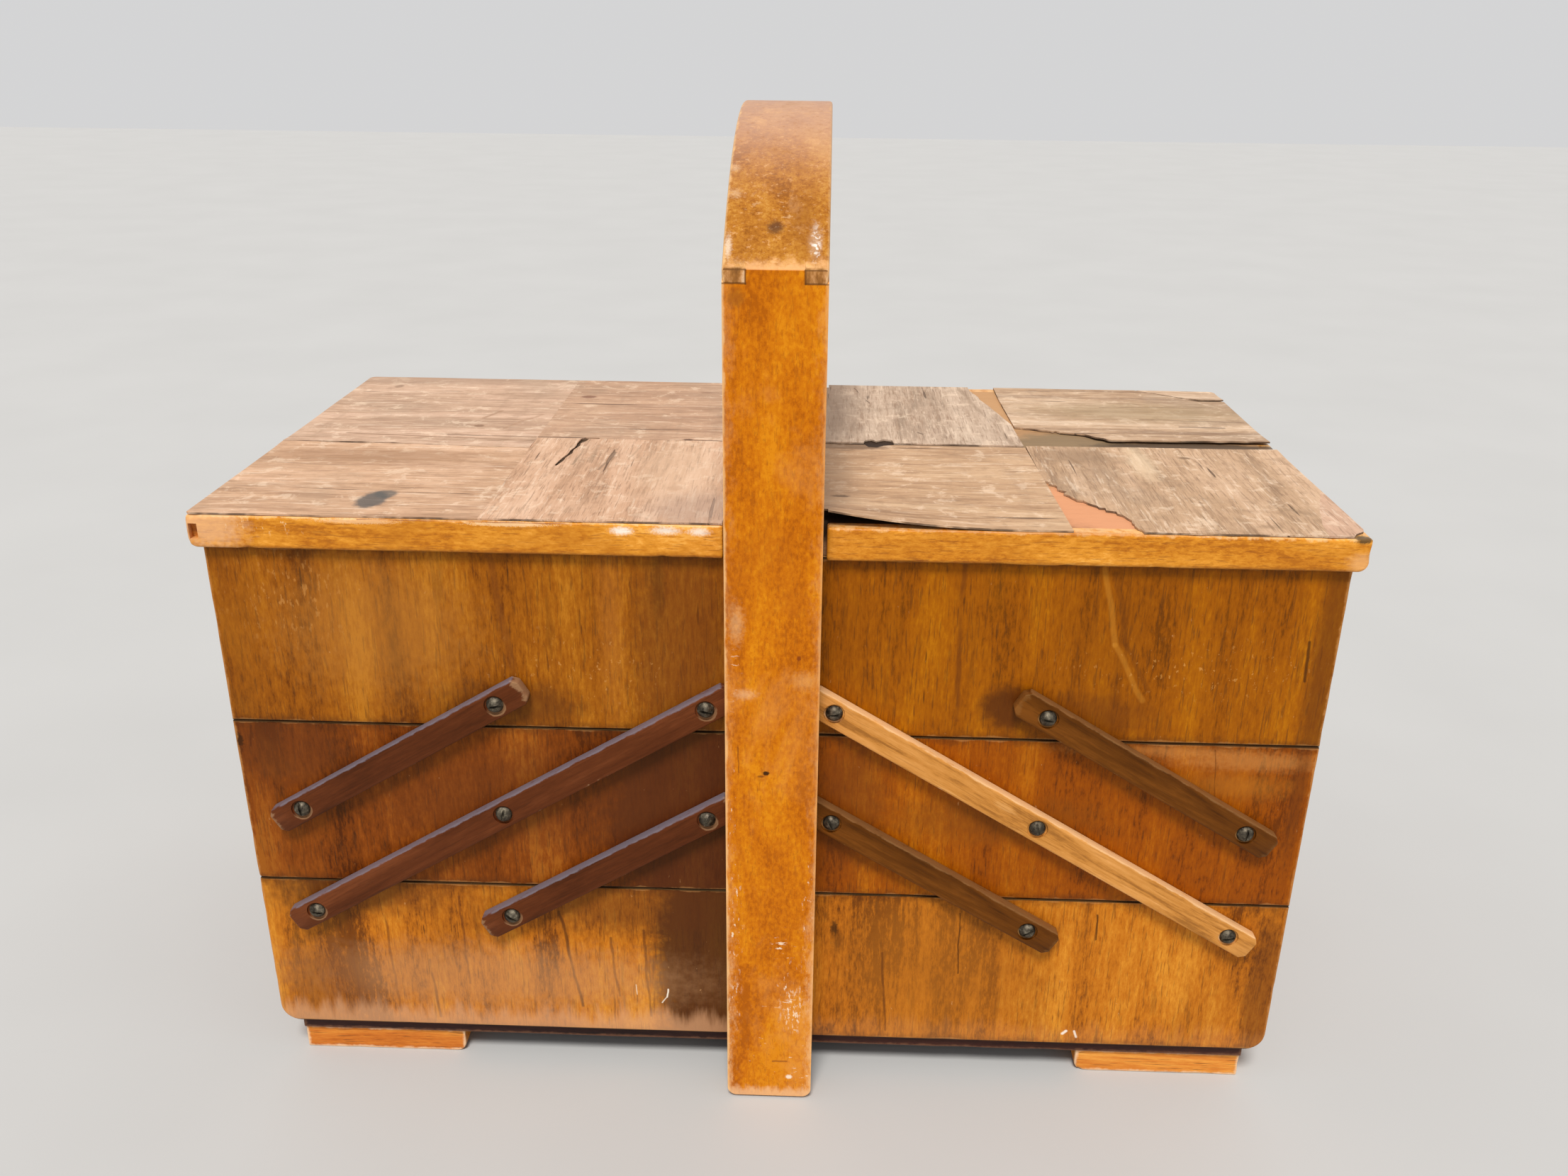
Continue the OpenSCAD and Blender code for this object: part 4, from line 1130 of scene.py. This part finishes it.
def add_right_sheets():
    inner, outer, deep, notch, shelf = lid_layout("right")
    r = LID_CORNER / MM - CORNER_INSET
    put = functools.partial(add_sheet, "right")
    back_marks = [
        ("#5b4433", 0.8, "stroke", (33, 100), (41, 64), 0.5, 3),
        ("#5b4433", 0.7, "stroke", (60, 20), (62, 17), 0.9, 1),
        ("#8c735c", 0.5, "stroke", (85, 104), (100, 4), 1.6, 6, 30),
        ("#8f7a68", 0.6, "spot", (18, 60), (14, 70), 0.4, 0.5),
    ]
    seam_back, seam, seam_front = 102.6, 104.4, 108.0
    put("inner_back",
        [(inner, 1.2), (30, 1.4), (35.5, 1.6), (36.2, 5.6), (39, 7.2), (41, 4.4), (44.6, 7.6), (48, 6.4),
         (48.6, 1.3), (seam, 1.0), *torn((103.4, 36), (91, 97), 7, 0.8, 11), (90.6, 97), (90.2, deep),
         (notch, deep), (notch, shelf), (inner, shelf)],
        torn_lift(0, 0.3, 14, 1), 1, ("#97806b", "#b29881", "#c0a790", "#cdb59d"), 3.4, back_marks, 0.5)
    front_marks = [
        ("#33231b", 0.9, "spot", (25, -72), (3.4, 1.6), 0.5),
        ("#4f3a2b", 0.6, "spot", (30, -5), (16, 3.5), 0.5),
        ("#95775c", 0.5, "spot", (19, -50), (10, 60), 0.4, 0.5),
        ("#9c7b5c", 0.6, "stroke", (60, -4), (104, -6), 0.7, 2),
    ]
    put("inner_front",
        [(inner, -0.9), (inner, -shelf), (notch, -shelf), (notch, -deep), (seam_front, -deep),
         (seam + 0.4, -0.8), (48.4, -0.9), (44, -2.2), (41, -5.2), (37.4, -4.6), (36, -1.2)],
        curl, 0, ("#9a785a", "#b5906e", "#bf9b78", "#cba986"), 6.1, front_marks, 0.35, 0.2)
    outer_marks = [
        ("#4c3a2c", 0.9, "stroke", (130, 22), (152, 22.6), 0.7, 1),
        ("#3c2c20", 0.9, "stroke", (180, 37.5), (200, 36.5), 0.8, 1.5),
        ("#98805f", 0.6, "spot", (165, 62), (46, 16), 0.6, 0.6),
        ("#6d563f", 0.6, "stroke", (165, 49), (211, 47), 0.9, 3),
        ("#7a6249", 0.6, "stroke", (150, 70), (205, 74), 0.8, 3),
    ]
    grey = ("#8c6f56", "#a8886b", "#b69576", "#c4a485", "#d0b498")
    put("outer_back",
        [(seam_back + 0.5, deep), (seam_back + 0.5, 80), *torn((seam, 31.5), (118, 27), 6, 0.7, 21),
         *torn((118, 27), (129, 22.3), 5, 0.8, 22), (134, 20.6), *torn((138, 15), (144, 10.4), 3, 0.6, 23),
         *torn((144, 10.4), (outer, 12.2), 12, 0.35, 24), (outer, 12.2), (outer, 85), (200.5, 84.6),
         *torn((199.6, 85.2), (174, deep), 6, 0.5, 25), (173.6, deep)],
        torn_lift(12, 0.9, 26, 2), 0, grey, 9.3, outer_marks, 0.5)
    put("corner_chip",
        [(175, deep), *torn((175.2, deep - 0.6), (200.6, 86), 6, 0.5, 26), (200.8, 86), (outer, 86.2),
         *arc(outer - r, deep - r, r, 0)],
        torn_lift(86, 0.7, 12, 2), 0, ("#ab8b6e", "#bd9d80", "#cbad90", "#d6ba9e"), 4.2, greyed=0.1)
    ring_marks = [
        ("#8f7357", 0.5, "ring", (185, -86), (0.75, 1.0, 0), 11),
        ("#d8bd9c", 0.6, "spot", (150, -20), (5, 22), 0.6, 0.6),
        ("#8b6f55", 0.65, "spot", (125, -12), (14, 12), 0.5, 0.6),
        ("#7b6047", 0.8, "spot", (170, -12), (2.4, 1.6), 0.4),
        ("#8a6c50", 0.5, "stroke", (119, -8), (127, -32), 1.4, 3),
        ("#7a6048", 0.5, "stroke", (205, -98), (213, -104), 1.0, 1),
    ]
    tan = ("#94765b", "#b18f6f", "#be9b7b", "#c9a788")
    put("outer_front",
        [(seam + 0.8, 0.2), (106, -44.5), *torn((106.2, -45), (114.5, -69), 12, 1.2, 31),
         *torn((114.5, -69), (120, -75.5), 5, 1.1, 32), *torn((120, -75.5), (129.5, -88), 9, 1.3, 33),
         *torn((129.5, -88), (133, -deep), 8, 0.9, 34), (133, -deep), (198.2, -deep), (199.3, -95),
         (204.2, -77), (211.6, -56), (outer, -55), (outer, 2.6),
         *torn((outer - 0.2, 2.7), (seam + 1, 0.3), 16, 0.4, 35)],
        torn_lift(0, 0.35, 10, 5), 1, tan, 12.8, ring_marks, 0.45, 0.25)
    put("end_strip",
        [(outer, -55), (211.6, -56), (204.2, -77), (199.3, -95), (198.2, -deep), (207, -deep), (208.8, -102),
         (212.2, -99.4), (outer, -97)],
        torn_lift(0, 0, 10, 5), 1, ("#a5826a", "#ba947a", "#c9a388"), 15.5)


def add_left_sheets():
    inner, outer, deep, notch, shelf = lid_layout("left")
    r = LID_CORNER / MM - CORNER_INSET
    put = functools.partial(add_sheet, "left")
    seam = -106.2
    outer_back = [
        ("#6f543e", 0.8, "stroke", (-146, 2), (-107, 1), 0.8, 2),
        ("#8a6a50", 0.75, "stroke", (-190, 2.5), (-107, -5), 1.1, 3),
        ("#7d5c44", 0.8, "spot", (-136, 17), (2.2, 1.8), 0.4),
        ("#987357", 0.6, "stroke", (-132, 43), (-137, 30), 1.4, 2),
        ("#a07b5f", 0.5, "stroke", (-112, 38), (-124, 14), 1.6, 4),
        ("#8d705a", 0.7, "spot", (-193, 86), (2, 3), 0.5),
        ("#9a7d68", 0.5, "spot", (-185, 100), (60, 9), 0.5, 0.5),
    ]
    pink = ("#a7856d", "#ba987d", "#c6a288", "#d0ae94")
    put("outer_back",
        [(seam, deep), *arc(-outer + r, deep - r, r, 90), (-outer, -12.6),
         *torn((-outer + 2, -12.5), (-197, -12.6), 4, 0.3, 41),
         *torn((-196, -11.9), (-161, -12.3), 8, 0.4, 42), *torn((-160, -13.7), (seam, -16), 12, 0.2, 43),
         (seam, -16)],
        torn_lift(-13, 0.4, 12, 7), 0, pink, 18.2, outer_back, 0.35, 0.2)
    outer_front = [
        ("#4f4e4c", 0.85, "spot", (-150.5, -87), (5.4, 9.5), 0.35, 0.25),
        ("#57534e", 0.8, "spot", (-147.5, -80), (4.4, 4.5), 0.4, 0.3),
        ("#9a7354", 0.6, "spot", (-170, -30), (46, 9), 0.6, 0.6),
        ("#a07a5a", 0.5, "stroke", (-200, -34), (-108, -36), 1.2, 4),
    ]
    put("outer_front",
        [(-outer, -12.8), (-outer, -deep + 1), (-outer + 1, -deep), (seam, -deep), (seam, -16.3),
         *torn((seam - 0.4, -16.3), (-160, -14.1), 12, 0.2, 44),
         *torn((-161, -14.1), (-196, -13.9), 8, 0.5, 45), (-198, -13.1)],
        torn_lift(-14, 0.3, 10, 7), 0, ("#a78063", "#bd9676", "#c9a181", "#d6b194"), 21.7, outer_front, 0.25)
    inner_back = [
        ("#7b5440", 0.85, "spot", (-96, 72), (3.6, 2.4), 0.5),
        ("#8d6a52", 0.7, "spot", (-40, 84), (3, 1.2), 0.5),
        ("#9a785f", 0.7, "stroke", (-84, 24), (-66, 20), 0.9, 2),
        ("#a08068", 0.6, "stroke", (-86, 37), (-60, 39), 0.8, 2),
        ("#5d4030", 0.85, "spot", (-40.5, 1), (2.2, 1.6), 0.4),
        ("#5d4030", 0.8, "stroke", (-38, 0.8), (-26, 0.6), 0.5, 0.4),
    ]
    put("inner_back",
        [(-inner, shelf), (-notch, shelf), (-notch, deep), (seam, deep), (seam, 0), (-86.4, 0), (-85, 1.6),
         (-79.4, 1.4), (-78.6, 0), (-42, 0.1), (-40, 0.5), (-inner, 0.4)],
        warp(0.25, 7), 0, ("#9e7b62", "#b18c70", "#bd977a", "#c6a385"), 26.9, inner_back, 0.35, 0.25)
    inner_front = [
        ("#94785f", 0.8, "stroke", (-82, -8), (-84, -38), 0.9, 3),
        ("#94785f", 0.5, "stroke", (-78, -10), (-77, -34), 1.6, 4, 50),
        ("#8c7059", 0.8, "stroke", (-69, -20), (-72, -44), 1.0, 3),
        ("#a5876c", 0.6, "stroke", (-60, -12), (-62, -30), 0.7, 3),
        ("#b18a6c", 0.7, "spot", (-39, -66), (3, 3), 0.4),
        ("#a58a78", 0.6, "spot", (-28, -90), (18, 20), 0.4, 0.6),
        ("#cfae90", 0.5, "spot", (-40, -40), (16, 36), 0.5, 0.6),
    ]
    put("inner_front",
        [(-inner, -0.2), (-42, -0.1), (-78.6, 0), (-79.6, -1.2), (-83.2, -1.6), (-84, -6), (-85.6, -8.5),
         (-85.2, -13), (-87, -18), (-86.7, -23), (-88.4, -28), (-88.6, -33), (-90.2, -40), (-91, -39.4),
         (-90.4, -33), (-89.7, -28), (-88.6, -23), (-88.4, -18), (-87, -12), (-87.4, -7), (-86.6, 0),
         (seam, 0), (seam, -deep), (-notch, -deep), (-notch, -shelf), (-inner, -shelf)],
        flap, 1, ("#a98366", "#c19879", "#cba486", "#d8b497"), 31.1, inner_front, 0.15)


def add_lids():
    for side, sign in SIDES.items():
        paint(f"{side}_lid_panel", lid_board_wood(f"{side}_lid_board_wood", sign))
        add_edging(side, sign)
    add_left_sheets()
    add_right_sheets()


# The scene.

def add_floor():
    """A plain pale floor."""
    s = Shader("pale_floor")
    faint = s.noise(s.place, 6, 3, 0.5)
    s.colour = s.ramp(faint, ("#b4b3b1", "#b7b6b4"))
    mesh = bpy.data.meshes.new("floor")
    reach = 6
    corners = [(-reach, -reach, 0), (reach, -reach, 0), (reach, reach, 0), (-reach, reach, 0)]
    mesh.from_pydata(corners, [], [(0, 1, 2, 3)])
    mesh.materials.append(s.finish(faint, 0.65, 0.0002, 0.1))
    floor = bpy.data.objects.new("floor", mesh)
    bpy.context.scene.collection.objects.link(floor)


cad_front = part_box("bottom_tray_front")[0].y / MM
board_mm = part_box("right_lid_panel")[1].z / MM
lid_mm = board_mm + 0.8  # about where the sheets' faces lie
lid_low, lid_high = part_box("left_lid_veneer")[0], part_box("right_lid_veneer")[1]
post_reach, bow_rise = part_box("handle_bow")[1].y, 46.5 * MM
bow_radius = (post_reach ** 2 + bow_rise ** 2) / (2 * bow_rise)

add_camera()
add_world()
add_sun(place=(-0.04, -0.5, 0.85), strength=3.1, softness=16)
add_floor()
add_trays()
add_handle()
add_links()
add_base()
add_hidden_wood()
add_metal()
add_lids()
